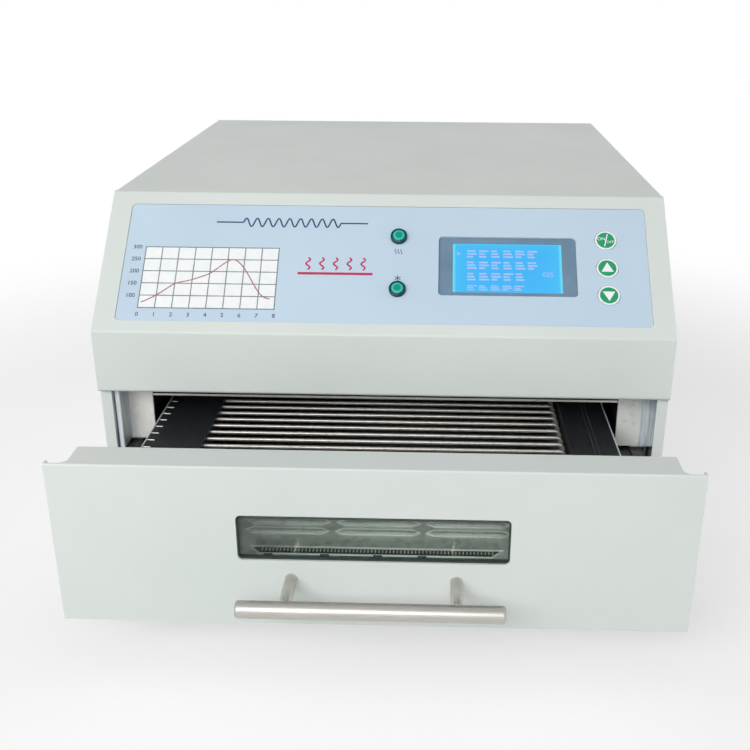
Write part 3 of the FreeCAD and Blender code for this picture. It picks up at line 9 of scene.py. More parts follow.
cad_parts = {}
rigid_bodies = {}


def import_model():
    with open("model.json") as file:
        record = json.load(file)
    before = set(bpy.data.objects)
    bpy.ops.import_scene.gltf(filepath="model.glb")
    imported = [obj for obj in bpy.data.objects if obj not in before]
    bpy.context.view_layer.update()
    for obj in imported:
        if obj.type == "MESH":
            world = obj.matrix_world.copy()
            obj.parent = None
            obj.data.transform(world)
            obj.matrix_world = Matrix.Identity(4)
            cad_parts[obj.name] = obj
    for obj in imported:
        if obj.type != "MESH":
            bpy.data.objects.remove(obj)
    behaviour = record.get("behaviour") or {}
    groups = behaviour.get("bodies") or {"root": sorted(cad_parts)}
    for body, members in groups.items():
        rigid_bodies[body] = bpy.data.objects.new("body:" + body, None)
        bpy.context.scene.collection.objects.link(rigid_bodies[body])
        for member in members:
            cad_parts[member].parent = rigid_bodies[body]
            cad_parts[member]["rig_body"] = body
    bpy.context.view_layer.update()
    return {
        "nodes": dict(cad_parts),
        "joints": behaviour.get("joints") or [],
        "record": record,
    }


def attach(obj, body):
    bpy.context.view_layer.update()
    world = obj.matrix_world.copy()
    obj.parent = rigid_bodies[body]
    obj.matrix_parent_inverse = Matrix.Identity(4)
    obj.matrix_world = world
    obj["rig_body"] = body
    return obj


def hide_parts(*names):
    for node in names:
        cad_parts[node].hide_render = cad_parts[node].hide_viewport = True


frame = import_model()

# Sizes are in millimetres until a piece is made

MM = 0.001
WELD = 1e-6
TURN = 2 * math.pi
FASCIA_Y, BEND_Z = -145.0, 182.5
PLATE_Y = -245.0
BACK_Y = 275.7

# The sloping panel: its inward direction is the one the keys are pressed in
INWARD = next(np.array(joint["axis"]) for joint in frame["joints"] if joint["name"] == "power_key_press")
OUTWARD = -INWARD
UPHILL = np.array([0.0, -INWARD[2], INWARD[1]])
FILM_TOP = -0.5


# Shapes

def angles(count):
    """Equal steps round a circle."""
    return np.linspace(0, TURN, count, endpoint=False)


def unit(vectors):
    """The same directions, each made one long."""
    return vectors / np.linalg.norm(vectors, axis=-1, keepdims=True)


def at_level(flat, level):
    """Points of a plane, all put at one height."""
    return np.column_stack((flat, np.full(len(flat), level)))


def skin(points, ring=False, capped=False):
    """A surface over rows of points: each face joins a point to its neighbours beside and below. Every row
    closes on itself, a ring's last row meets its first, and capped puts a face over each end."""
    rows, columns = points.shape[:2]
    row, column = np.meshgrid(np.arange(rows if ring else rows - 1), np.arange(columns), indexing="ij")
    here, below = row * columns, (row + 1) % rows * columns
    beside = (column + 1) % columns
    faces = np.stack((here + column, here + beside, below + beside, below + column), axis=-1).reshape(-1, 4)
    if capped:
        end = np.arange(columns)
        faces = [*faces, end[::-1], end + (rows - 1) * columns]
    return points.reshape(-1, 3), faces


def turned(profile, segments=48, ring=False):
    """A turned shape: each (radius, height) of the profile goes round the upright axis as
    (radius cos a, radius sin a, height). A ring's profile is a closed loop."""
    radius, height = np.asarray(profile, float).T
    angle = angles(segments)
    circle = (np.outer(radius, np.cos(angle)), np.outer(radius, np.sin(angle)))
    return skin(np.stack((*circle, np.outer(height, np.ones(segments))), axis=-1), ring)


def wire(path, radius, sides=10, closed=False, helper=None):
    """A round wire: at each point of the path a circle stands square to it, in two directions found by
    crossing the path's direction with a fixed helper, the axis along which the path spreads least."""
    path = np.asarray(path, float)
    if closed:
        ahead = unit(np.roll(path, -1, axis=0) - np.roll(path, 1, axis=0))
    else:
        ahead = unit(np.gradient(path, axis=0))
    if helper is None:
        helper = np.eye(3)[np.argmin(np.ptp(path, axis=0))]
    across = unit(np.cross(ahead, helper))
    other = np.cross(across, ahead)
    angle = angles(sides)[None, :, None]
    circle = np.cos(angle) * across[:, None] + np.sin(angle) * other[:, None]
    rings = path[:, None] + radius * circle
    if not closed:
        ends = path[[0, -1], None] + 0 * circle[[0, -1]]
        rings = np.concatenate((ends[:1], rings, ends[1:]))
    return skin(rings, closed)


def plate(outline, low, high, edge=0.0):
    """A flat piece: its outline is carried from low to high, and drawn in by edge at the top, with a face
    over each end."""
    outline = np.asarray(outline, float)
    levels = [(outline, low), (outline, high)]
    if edge:
        middle = (outline.max(axis=0) + outline.min(axis=0)) / 2
        drawn_in = middle + (outline - middle) * (1 - 2 * edge / np.ptp(outline, axis=0))
        levels = [(outline, low), (outline, high - edge), (drawn_in, high)]
    return skin(np.stack([at_level(*level) for level in levels]), capped=True)


def rectangle(left, right, low, high, bottom, top):
    """A flat piece on a straight-sided outline: four corners carried from bottom to top."""
    return plate([(left, low), (right, low), (right, high), (left, high)], bottom, top)


def rounded_outline(half_x, half_y, radius):
    """A rectangle with round corners: four quarter circles, one after the other, joined by straight sides."""
    quarter = np.linspace(0, math.pi / 2, 6)
    angle = (np.arange(4)[:, None] * math.pi / 2 + quarter).ravel()
    side = np.repeat([[1, 1], [-1, 1], [-1, -1], [1, -1]], len(quarter), axis=0)
    middle = side * (np.array([half_x, half_y]) - radius)
    return middle + radius * np.column_stack((np.cos(angle), np.sin(angle)))


def ribbon(path, width, low, high):
    """A flat band along a path in the plane: at each point an upright rectangle as wide as the band stands
    square to the path, and the first and last are faced over."""
    path = np.asarray(path, float)
    ahead = unit(np.gradient(path, axis=0))
    side = np.column_stack((-ahead[:, 1], ahead[:, 0])) * width / 2
    corners = ((1, low), (1, high), (-1, high), (-1, low))
    return skin(np.stack([at_level(path + hand * side, z) for hand, z in corners], axis=1), capped=True)


def wave(left, right, middle, height, turns, width, low, high, upright=False):
    """A sine from left to right about a middle line, as a band; upright swaps its two directions."""
    along = np.linspace(left, right, int(24 * turns) + 1)
    swing = middle + height / 2 * np.sin((along - left) / (right - left) * turns * TURN)
    path = np.column_stack((swing, along) if upright else (along, swing))
    return ribbon(path, width, low, high)


SCREW_R, SCREW_TALL = 3.6, 1.8
CROSS_HALF, CROSS_REACH, CROSS_DEEP = 0.6, 2.15, 0.9


def screw_head():
    """A pan head as a polar grid: its height falls with the fourth power of the distance from the axis, and a
    cross is pressed in where a point lies close to either centre line."""
    rings = [0, 0.3, 0.55, 0.8, 1.1, 1.4, 1.7, 1.95, 2.2, 2.6, 3.0, 3.3, 3.5]
    reach = np.array(rings + [SCREW_R, SCREW_R, 0])
    angle = angles(48)
    x, y = np.outer(reach, np.cos(angle)), np.outer(reach, np.sin(angle))
    crown = SCREW_TALL * (1 - 0.4 * (reach / SCREW_R) ** 4)
    slim, far = np.minimum(abs(x), abs(y)), np.maximum(abs(x), abs(y))
    pressed = np.clip((CROSS_HALF - slim) / 0.22, 0, 1) * np.clip((CROSS_REACH - far) / 0.35, 0, 1)
    z = crown[:, None] - CROSS_DEEP * pressed
    z[-2:] = 0
    return skin(np.stack((x, y, z), axis=-1))


def moved(shape, by):
    """The same shape with every point shifted by one step."""
    points, faces = shape
    return points + np.asarray(by, float), faces


def stood(shape, axis, foot):
    """Turns a shape's upright axis to another direction, by using that direction and two square to it as the
    new axes, and moves its origin to the foot."""
    points, faces = shape
    upright = unit(np.asarray(axis, float))
    helper = np.eye(3)[np.argmin(np.abs(upright))]
    first = unit(np.cross(helper, upright))
    second = np.cross(upright, first)
    return points @ np.stack((first, second, upright)) + np.asarray(foot, float), faces


def on_panel(shape):
    """Lays a shape drawn as (across, up the slope, out of the panel) on the sloping panel."""
    points, faces = shape
    across, uphill, out = points.T
    place = np.outer(across, [1, 0, 0]) + np.outer(uphill, UPHILL) + np.outer(out, OUTWARD)
    return place + [0, FASCIA_Y, BEND_Z], faces


def figures(text, height, across, uphill, low, high):
    """Plain figures as a thin flat shape: the built-in outlines, filled, scaled to a height and centred, with
    the back at the low level and the front at the high one."""
    curve = bpy.data.curves.new("figures", "FONT")
    curve.body = text
    curve.resolution_u = 3
    curve.extrude = 0.5
    helper = bpy.data.objects.new("figures", curve)
    mesh = bpy.data.meshes.new_from_object(helper)
    flat = np.zeros(len(mesh.vertices) * 3)
    mesh.vertices.foreach_get("co", flat)
    points = flat.reshape(-1, 3)
    faces = [np.array(face.vertices) for face in mesh.polygons]
    bpy.data.objects.remove(helper)
    bpy.data.curves.remove(curve)
    bpy.data.meshes.remove(mesh)
    least, most = points.min(axis=0), points.max(axis=0)
    spot = (points - (least + most) / 2)[:, :2] * height / (most - least)[1] + [across, uphill]
    return np.column_stack((spot, np.where(points[:, 2] > 0, high, low))), faces


def placed(name, data):
    """A new object in the scene."""
    thing = bpy.data.objects.new(name, data)
    bpy.context.scene.collection.objects.link(thing)
    return thing


def shown(name, mesh, finish, body, stands_for, crease):
    """An object made of a finished mesh: smooth but for edges sharper than the crease, riding on a body."""
    mesh.polygons.foreach_set("use_smooth", np.ones(len(mesh.polygons), bool))
    mesh.set_sharp_from_angle(angle=math.radians(crease))
    mesh.materials.clear()
    mesh.materials.append(finish)
    thing = placed(name, mesh)
    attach(thing, body)
    if stands_for:
        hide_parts(*stands_for)
    return thing


def piece(name, shapes, body, slot=None, finish=None, stands_for=(), crease=35, marks=None):
    """One object from shapes given as (points in mm, faces): joined, welded and turned outwards. Its finish
    is the slot's, unless it has one of its own."""
    starts = np.cumsum([0] + [len(points) for points, _ in shapes])
    points = np.concatenate([points for points, _ in shapes]) * MM
    faces = [(np.asarray(face) + start).tolist() for (_, own), start in zip(shapes, starts) for face in own]
    mesh = bpy.data.meshes.new(name)
    mesh.from_pydata(points.tolist(), [], faces)
    for label, values in (marks or {}).items():
        attribute = mesh.attributes.new(label, "FLOAT", "POINT")
        attribute.data.foreach_set("value", np.asarray(values, np.float32))
    weld = bmesh.new()
    weld.from_mesh(mesh)
    bmesh.ops.remove_doubles(weld, verts=weld.verts, dist=WELD)
    bmesh.ops.recalc_face_normals(weld, faces=weld.faces)
    weld.to_mesh(mesh)
    weld.free()
    shown(name, mesh, finish or FINISHES[slot], body, stands_for, crease)


def panel_piece(name, shapes, body="case", **others):
    """One object from shapes drawn flat on the sloping panel."""
    piece(name, [on_panel(shape) for shape in shapes], body, **others)


def eased(node, width):
    """A copy of a node's own shape, welded into whole faces, with its sharp edges rolled over to a radius."""
    source = frame["nodes"][node]
    weld = bmesh.new()
    weld.from_mesh(source.data)
    bmesh.ops.remove_doubles(weld, verts=weld.verts, dist=WELD)
    bmesh.ops.dissolve_limit(weld, angle_limit=math.radians(0.6), verts=weld.verts, edges=weld.edges)
    mesh = bpy.data.meshes.new(f"{node}_eased")
    weld.to_mesh(mesh)
    weld.free()
    thing = shown(f"{node}_eased", mesh, finish_of(node), source["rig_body"], [node], 40)
    roll = thing.modifiers.new("rolled edges", "BEVEL")
    roll.width = width * MM
    roll.segments = 2
    roll.limit_method = "ANGLE"
    roll.angle_limit = math.radians(50)
    even = thing.modifiers.new("even shading", "WEIGHTED_NORMAL")
    even.weight = 100
    even.keep_sharp = True


# Finishes

WHITE = (1.0, 1.0, 1.0, 1.0)


def shade(red, green, blue):
    """A colour as it is read off a screen, 0 to 255, turned into light."""
    value = np.array([red, green, blue]) / 255
    light = np.where(value <= 0.04045, value / 12.92, ((value + 0.055) / 1.055) ** 2.4)
    return (*light.tolist(), 1.0)


class Wiring:
    """The nodes of one tree. An input is a value to be set, or another node's output to be joined."""

    def __init__(self, tree):
        self.tree = tree

    def join(self, value, socket):
        if isinstance(value, bpy.types.NodeSocket):
            self.tree.links.new(value, socket)
        else:
            socket.default_value = value

    def node(self, kind, inputs=None, **settings):
        made = self.tree.nodes.new(f"ShaderNode{kind}")
        for field, value in settings.items():
            setattr(made, field, value)
        for socket, value in (inputs or {}).items():
            self.join(value, made.inputs[socket])
        return made

    def math(self, operation, *values):
        return self.node("Math", dict(enumerate(values)), operation=operation).outputs["Value"]

    def sum(self, first, second, share):
        """first plus a share of second."""
        return self.math("MULTIPLY_ADD", second, share, first)

    def range(self, fac, low, high, start=0.25, end=0.75):
        """Goes from low to high while fac goes from start to end."""
        inputs = {"Value": fac, "From Min": start, "From Max": end, "To Min": low, "To Max": high}
        return self.node("MapRange", inputs).outputs["Result"]

    def seen(self):
        """1 for what reaches the eye straight, off a polished surface or through glass, 0 for other light."""
        path = self.node("LightPath").outputs
        straight = self.math("MAXIMUM", path["Is Camera Ray"], path["Is Glossy Ray"])
        return self.math("MAXIMUM", straight, path["Is Transmission Ray"])


class Finish(Wiring):
    """A material with one shader, and the patterns that feed it, all read at the point of the object."""

    def __init__(self, name, **fixed):
        self.material = bpy.data.materials.new(name)
        self.material.use_nodes = True
        super().__init__(self.material.node_tree)
        self.shader = self.tree.nodes["Principled BSDF"]
        for words, value in fixed.items():
            self.shader.inputs[words.replace("_", " ").title().replace("Ior", "IOR")].default_value = value
        self.point = self.node("TexCoord").outputs["Object"]

    def stretched(self, scale, place=(0, 0, 0), turn=(0, 0, 0)):
        inputs = {"Vector": self.point, "Location": place, "Rotation": turn, "Scale": scale}
        return self.node("Mapping", inputs).outputs["Vector"]

    def cloud(self, scale, detail=3.0, roughness=0.55, point=None):
        inputs = {"Vector": point or self.point, "Scale": scale, "Detail": detail, "Roughness": roughness}
        return self.node("TexNoise", inputs).outputs["Fac"]

    def cells(self, scale, point=None):
        made = self.node("TexVoronoi", {"Vector": point or self.point, "Scale": scale})
        return self.node("SeparateColor", {"Color": made.outputs["Color"]}).outputs["Red"]

    def ramp(self, fac, *stops):
        made = self.node("ValToRGB", {"Fac": fac})
        band = made.color_ramp
        while len(band.elements) < len(stops):
            band.elements.new(0.5)
        for element, (position, colour) in zip(band.elements, stops):
            element.position = position
            element.color = colour
        return made.outputs["Color"]

    def tones(self, fac, *stops):
        """A ramp through colours given as (position, red, green, blue)."""
        return self.ramp(fac, *[(position, shade(*colour)) for position, *colour in stops])

    def blend(self, fac, first, second, how="MULTIPLY"):
        made = self.node("Mix", data_type="RGBA", blend_type=how)
        for index, value in ((0, fac), (6, first), (7, second)):
            self.join(value, made.inputs[index])
        return made.outputs[2]

    def feed(self, colour, roughness=None, height=None, strength=0.1, depth=0.0003, **others):
        others["Base Color"] = colour
        if roughness is not None:
            others["Roughness"] = roughness
        if height is not None:
            inputs = {"Height": height, "Strength": strength, "Distance": depth}
            others["Normal"] = self.node("Bump", inputs).outputs["Normal"]
        for socket, value in others.items():
            self.tree.links.new(value, self.shader.inputs[socket])
        return self.material

    def surface(self, shader):
        self.join(shader.outputs[0], self.tree.nodes["Material Output"].inputs["Surface"])
        return self.material


def coat(name, noise, tones, gloss, relief=None, stretch=None, **fixed):
    """A finish whose tone follows one noise, drawn out along its lines where it has a stretch. gloss is the
    two ends of its roughness, and relief the strength and the depth in metres of its bumps. Either may begin
    with the scale and detail of a noise of its own, or else it follows the tone's."""
    f = Finish(name, **fixed)
    pattern = f.cloud(*noise, point=stretch and f.stretched(stretch))
    *own, smooth, rough = gloss
    parts = [f.tones(pattern, *tones), f.range(f.cloud(*own) if own else pattern, smooth, rough)]
    if relief:
        *own, strength, depth = relief
        parts += [f.cloud(*own) if own else pattern, strength, depth]
    return f.feed(*parts)


def white_paint():
    """Baked off-white paint: soft drifts of tone, fine specks, and the slight ripple of a sprayed coat."""
    f = Finish("white_paint", specular_ior_level=0.35, coat_weight=0.05, coat_roughness=0.25)
    drift = f.tones(f.cloud(7, 4), (0.3, 218, 226, 222), (0.7, 226, 231, 227))
    specks = f.ramp(f.cloud(420, 2, 0.7), (0.2, (0.95, 0.95, 0.95, 1)), (0.3, WHITE))
    ripple = f.sum(f.cloud(520, 2), f.cloud(60, 2), 0.5)
    return f.feed(f.blend(1.0, drift, specks), f.range(f.cloud(30, 3), 0.36, 0.48), ripple, 0.05, 0.0004)


def black_paint():
    """Thin black coat on folded steel: dusty drifts and fine rub marks along its length."""
    f = Finish("black_paint")
    drift = f.tones(f.cloud(14, 4), (0.3, 22, 25, 29), (0.75, 34, 38, 43))
    rub = f.cloud(22, 5, 0.65, f.stretched((22, 1.2, 22)))
    colour = f.blend(0.35, drift, f.tones(rub, (0.62, 0, 0, 0), (0.72, 70, 76, 82)), "ADD")
    return f.feed(colour, f.range(rub, 0.34, 0.52), f.cloud(600, 2), 0.06)


def zinc_sheet(name, dull, bright):
    """Zinc-coated steel: crystal patches of slightly different tone, with brushed lines across them."""
    f = Finish(name, metallic=0.15)
    patches = f.sum(f.cells(260), f.cells(110), 0.8)
    lines = f.cloud(30, 5, 0.6, f.stretched((3, 3, 60), turn=(0, 0.6, 0)))
    tone = f.tones(f.sum(patches, lines, 0.7), (0.35, *dull), (0.94, *bright))
    return f.feed(tone, f.range(lines, 0.3, 0.46), f.sum(lines, patches, 0.3), 0.08)


def dull_zinc():
    """Zinc-coated floor of the drawer: dull and green-grey, with crystal patches, and darkened towards the
    back, under the rack, as painted shade."""
    f = Finish("dull_zinc", metallic=0.3)
    patches = f.sum(f.cells(200), f.cloud(40, 4), 0.8)
    tone = f.tones(patches, (0.3, 188, 198, 190), (1.0, 220, 227, 220))
    depth = f.node("SeparateXYZ", {"Vector": f.point}).outputs["Y"]
    # This mask darkens the floor towards the back, under the rack: painted shade
    heat = f.range(f.sum(depth, f.cloud(12, 4), 0.04), 0, 1, -0.105, -0.065)
    back_painted_shade = f.ramp(heat, (0.0, WHITE), (1.0, (0.12, 0.11, 0.1, 1)))
    return f.feed(f.blend(1.0, tone, back_painted_shade), f.range(f.cloud(60, 3), 0.35, 0.5), patches, 0.06)


def ink(name, colour, darker):
    """Screen-printed ink: an almost even colour with the faint cloudiness of one pass."""
    return coat(name, (180, 3), [(0.3, *darker), (0.6, *colour)], (300, 2, 0.4, 0.55))


def lit_display():
    """Backlit display: sky blue, paler towards its edges, over a faint grid of dots."""
    f = Finish("lit_display", roughness=0.12, emission_strength=0.85)
    place = f.stretched((28.2, 1, 70.6), (-2.256, 0, -15.17))
    spot = f.node("SeparateXYZ", {"Vector": place}).outputs
    edge = f.math("MAXIMUM", f.math("ABSOLUTE", spot["X"]), f.math("ABSOLUTE", spot["Z"]))
    glow = f.tones(edge, (0.5, 48, 184, 250), (0.94, 56, 194, 250), (0.98, 104, 230, 253))
    dots = f.ramp(f.cells(1400), (0.0, (0.94, 0.95, 0.97, 1)), (1.0, WHITE))
    dark = f.tones(f.cloud(50, 2), (0.3, 30, 60, 90), (0.7, 40, 72, 104))
    return f.feed(dark, **{"Emission Color": f.blend(1.0, glow, dots)})


def display_mark():
    """Lit marks on the display, pale with a violet cast."""
    f = Finish("display_mark", roughness=0.4, emission_strength=0.85)
    lit = f.tones(f.cloud(400, 2), (0.3, 138, 180, 242), (0.7, 160, 192, 246))
    dark = f.ramp(f.cloud(90, 1), (0, (0.1, 0.1, 0.12, 1)), (1, (0.14, 0.14, 0.16, 1)))
    return f.feed(dark, **{"Emission Color": lit})


def lamp_lens():
    """Teal moulded lens: even in the middle, with a pale ring that is a painted highlight and a dark rim that
    is painted shade.
    """
    f = Finish("lamp_lens", specular_ior_level=0.25, coat_weight=0.08, coat_roughness=0.08)
    spread = f.sum(f.node("Attribute", attribute_name="spread").outputs["Fac"], f.cloud(500, 2), 0.04)
    # Pale ring: painted highlight; the last, dark stop: painted shade of the rim
    middle, painted_highlight_ring = (0.42, 0, 150, 130), (0.56, 70, 214, 194)
    tone = f.tones(spread, middle, painted_highlight_ring, (0.72, 0, 140, 128), (0.84, 0, 62, 68))
    return f.feed(tone, f.range(f.cloud(200, 2), 0.12, 0.22))


def window_clear():
    """Float glass: clear, with a slight green cast; light from lamps passes through."""
    f = Finish("window_clear", transmission_weight=1.0, ior=1.45)
    tone = f.tones(f.cloud(6, 2), (0.3, 232, 244, 238), (0.7, 240, 249, 244))
    f.feed(tone, f.range(f.cloud(30, 2), 0.0, 0.008))
    lit = f.node("LightPath").outputs["Is Shadow Ray"]
    clear = f.node("BsdfTransparent", {"Color": (0.9, 0.95, 0.92, 1)})
    return f.surface(f.node("MixShader", {0: lit, 1: f.shader.outputs[0], 2: clear.outputs[0]}))


def mineral_wool():
    """Fibre blanket: tangled fibres seen as stretched noise in two directions."""
    f = Finish("mineral_wool", specular_ior_level=0.2)
    first = f.cloud(90, 5, 0.7, f.stretched((1, 6, 2)))
    fibres = f.sum(first, f.cloud(90, 5, 0.7, f.stretched((6, 1, 2))), 0.8)
    tone = f.tones(fibres, (0.6, 196, 188, 164), (1.0, 232, 226, 206))
    return f.feed(tone, f.range(first, 0.85, 1.0), fibres, 0.5, 0.001)


def circuit_board():
    """Green solder mask over faint copper runs."""
    f = Finish("circuit_board", coat_weight=0.3, coat_roughness=0.2)
    runs = f.cells(300, f.stretched((1, 0.25, 1)))
    tone = f.tones(runs, (0.45, 18, 72, 44), (0.55, 30, 96, 60))
    return f.feed(tone, f.range(f.cloud(200, 2), 0.3, 0.45), runs, 0.1, 0.0002)


FINISHES = {
    "white_paint": white_paint(),
    "black_paint": black_paint(),
    "zinc_steel": zinc_sheet("zinc_sheet", (226, 225, 218), (248, 247, 241)),
    # Drawn slides: long fine drawing lines
    "bright_steel": coat(
        "slide_steel", (40, 5, 0.6), [(0.3, 168, 171, 174), (0.7, 192, 195, 197)],
        (0.26, 0.38), (0.03, 0.0002), (60, 1.0, 60), metallic=0.7,
    ),
    # Handle bar: fine satin lines along it
    "stainless": coat(
        "brushed_stainless", (50, 4, 0.6), [(0.3, 180, 177, 171), (0.7, 200, 198, 192)],
        (0.34, 0.46), (0.05, 0.0001), (1.5, 50, 50), metallic=1.0,
    ),
    # Plated wire: bright, with tiny dull spots
    "bright_wire": coat(
        "bright_wire", (320, 3), [(0.3, 176, 173, 168), (0.6, 200, 197, 192)],
        (0.3, 0.44), (900, 2, 0.02, 0.0001), metallic=0.75,
    ),
    # Plated screw steel: pale with cloudy plating, the same every way
    "screw_zinc": coat(
        "screw_zinc", (240, 4), [(0.3, 166, 168, 166), (0.7, 204, 205, 202)],
        (0.22, 0.4), (0.06, 0.0002), metallic=1.0,
    ),
    # Printed plastic film with a fine grained face
    "panel_film": coat(
        "panel_film", (9, 3), [(0.3, 194, 215, 233), (0.7, 201, 221, 237)],
        (40, 2, 0.32, 0.44), (1500, 1, 0.05, 0.0002), coat_weight=0.1, coat_roughness=0.3,
    ),
    # Display surround, matt blue-grey
    "display_grey": coat(
        "display_slate", (60, 3), [(0.3, 104, 132, 156), (0.7, 116, 144, 168)],
        (90, 2, 0.4, 0.55), (1200, 1, 0.06, 0.0002),
    ),
    "display_lit": lit_display(),
    "lamp_green": lamp_lens(),
    # Key caps under clear film
    "key_green": coat(
        "key_green", (120, 3), [(0.3, 6, 148, 98), (0.7, 18, 160, 108)],
        (300, 2, 0.35, 0.5), (1500, 1, 0.05, 0.0002), coat_weight=0.2, coat_roughness=0.2,
    ),
    "window_clear": window_clear(),
    # Fused tube, milky clear
    "quartz": coat(
        "quartz_glass", (40, 3), [(0.3, 226, 228, 226), (0.7, 246, 247, 246)],
        (120, 3, 0.1, 0.3), transmission_weight=0.85, ior=1.46,
    ),
    # Near black and dusty, with a fine pebble
    "black_rubber": coat(
        "black_rubber", (90, 4), [(0.3, 24, 26, 26), (0.75, 46, 48, 48)],
        (160, 3, 0.7, 0.9), (900, 3, 0.18, 0.0003), specular_ior_level=0.3,
    ),
    # Unglazed, chalky and slightly stained
    "white_ceramic": coat(
        "white_ceramic", (60, 4), [(0.25, 214, 206, 192), (0.65, 236, 232, 222)],
        (200, 3, 0.55, 0.75), (800, 3, 0.15, 0.0003),
    ),
    "mineral_wool": mineral_wool(),
    # Extruded heatsink: pale, with extrusion lines
    "aluminium": coat(
        "plain_aluminium", (40, 4, 0.6), [(0.3, 186, 188, 190), (0.7, 214, 216, 217)],
        (0.3, 0.45), (0.08, 0.0002), (50, 1, 50), metallic=1.0,
    ),
    "board_green": circuit_board(),
    # Moulded, with a spark-eroded grain
    "black_plastic": coat(
        "black_plastic", (50, 3), [(0.3, 27, 28, 30), (0.7, 39, 40, 42)],
        (220, 3, 0.42, 0.6), (1100, 2, 0.14, 0.0003),
    ),
    # Stacked transformer plates: fine dark layers
    "laminations": coat(
        "iron_core", (60, 2, 0.5), [(0.35, 58, 54, 50), (0.65, 96, 90, 84)],
        (0.4, 0.6), (0.3, 0.0003), (1, 1, 30), metallic=0.6,
    ),
    # Contacts of the inlet
    "brass": coat(
        "contact_brass", (200, 3), [(0.3, 196, 176, 128), (0.7, 222, 206, 164)],
        (400, 2, 0.2, 0.34), metallic=1.0,
    ),
    # Heater wire: dull grey with an oxide bloom
    "filament": coat(
        "heater_alloy", (300, 3), [(0.3, 72, 66, 62), (0.7, 126, 120, 116)], (500, 2, 0.4, 0.6), metallic=0.9,
    ),
}
WHITE_INK = ink("white_ink", (250, 252, 252), (242, 246, 248))
GREY_INK = ink("grey_ink", (122, 134, 142), (108, 120, 130))
ROSE_INK = ink("rose_ink", (174, 112, 122), (160, 100, 112))
CRIMSON_INK = ink("crimson_ink", (196, 44, 96), (180, 34, 84))
NAVY_INK = ink("navy_ink", (48, 62, 112), (38, 52, 98))
MARK = display_mark()
DULL_ZINC = dull_zinc()
# Handle posts: a lighter copy of the bar's steel, painted light, with fine turning rings round each pin
POST_STEEL_PAINTED_LIT = coat(
    "turned_stainless_painted_lit", (50, 4, 0.6), [(0.3, 206, 202, 196), (0.7, 226, 223, 217)],
    (0.3, 0.42), (0.05, 0.0001), (1.5, 50, 1.5), metallic=1.0,
)
# Folded edge of a zinc-coated plate: bluish, with dull and bright lines along the fold; pale tone and bright
# lines painted on as reflection
FOLD_PAINTED_HIGHLIGHT = coat(
    "fold_painted_highlight", (24, 4, 0.6), [(0.3, 168, 182, 192), (0.5, 214, 223, 229), (0.7, 244, 248, 251)],
    (0.26, 0.42), (0.08, 0.0002), (34, 34, 1.5), metallic=0.12,
)
# Black coat lightened to grey along a pressed line: a painted highlight of the line
LINE_PAINTED_HIGHLIGHT = coat(
    "line_painted_highlight", (30, 4, 0.6), [(0.35, 62, 70, 78), (0.7, 104, 114, 122)],
    (0.35, 0.5), stretch=(30, 1.5, 30), metallic=0.3,
)

OWN_FINISH = {
    # Window seal: dark green-grey rubber with a dusty face
    "window_seal": coat(
        "seal_rubber", (120, 4), [(0.3, 50, 58, 54), (0.75, 70, 78, 74)],
        (160, 3, 0.55, 0.75), (900, 3, 0.12, 0.0003), specular_ior_level=0.3,
    ),
    # Dark green-blue coat of the strip that holds the glass
    "window_retainer": coat(
        "dark_sill", (80, 4), [(0.3, 62, 84, 82), (0.7, 84, 108, 104)],
        (160, 3, 0.35, 0.5), (700, 2, 0.08, 0.0003),
    ),
    "drawer_floor": DULL_ZINC,
    # The left frame's copy is paler and the right one's greyer: painted light and shade on one zinc sheet
    "side_frame_left": zinc_sheet("zinc_painted_lit", (242, 241, 234), (255, 254, 249)),
    "side_frame_right": zinc_sheet("zinc_painted_shade", (198, 199, 195), (234, 235, 231)),
}
SLOT_OF = {part["node"]: part["material_slot"] for part in frame["record"]["subparts"]}


def finish_of(node):
    """A node's own finish, or else its slot's."""
    return OWN_FINISH.get(node, FINISHES[SLOT_OF[node]])


for name, thing in frame["nodes"].items():
    thing.data.materials.clear()
    thing.data.materials.append(finish_of(name))


# Folded, moulded and drawn pieces: the node's own shape with its edges rolled over

EDGES = {
    "outer_cover": 0.5, "front_console": 0.5, "base_pan": 0.4, "rubber_feet": 0.8, "rear_panel": 0.3,
    "display_frame": 0.25, "control_overlay": 0.15, "side_frame_left": 0.3, "side_frame_right": 0.3,
    "heat_shield": 0.3, "slide_outer_members": 0.3, "slide_middle_left": 0.3, "slide_middle_right": 0.3,
    "slide_inner_members": 0.3, "drawer_front": 0.4, "inner_shield": 0.3, "drawer_sides": 0.3,
    "drawer_floor": 0.3, "pcb_tray": 0.25, "power_inlet": 0.5, "inlet_pins": 0.3, "rocker_housing": 0.5,
    "rocker": 0.4, "fan_frame": 0.4,
}
for name, width in EDGES.items():
    eased(name, width)


# Handle

BAR_Y, BAR_Z, BAR_R, BAR_HALF = -276.0, 67.4, 5.0, 75.0
BAR_DISH = 0.3
POST_X, POST_R, POST_GROOVE = 48.0, 3.75, 0.3


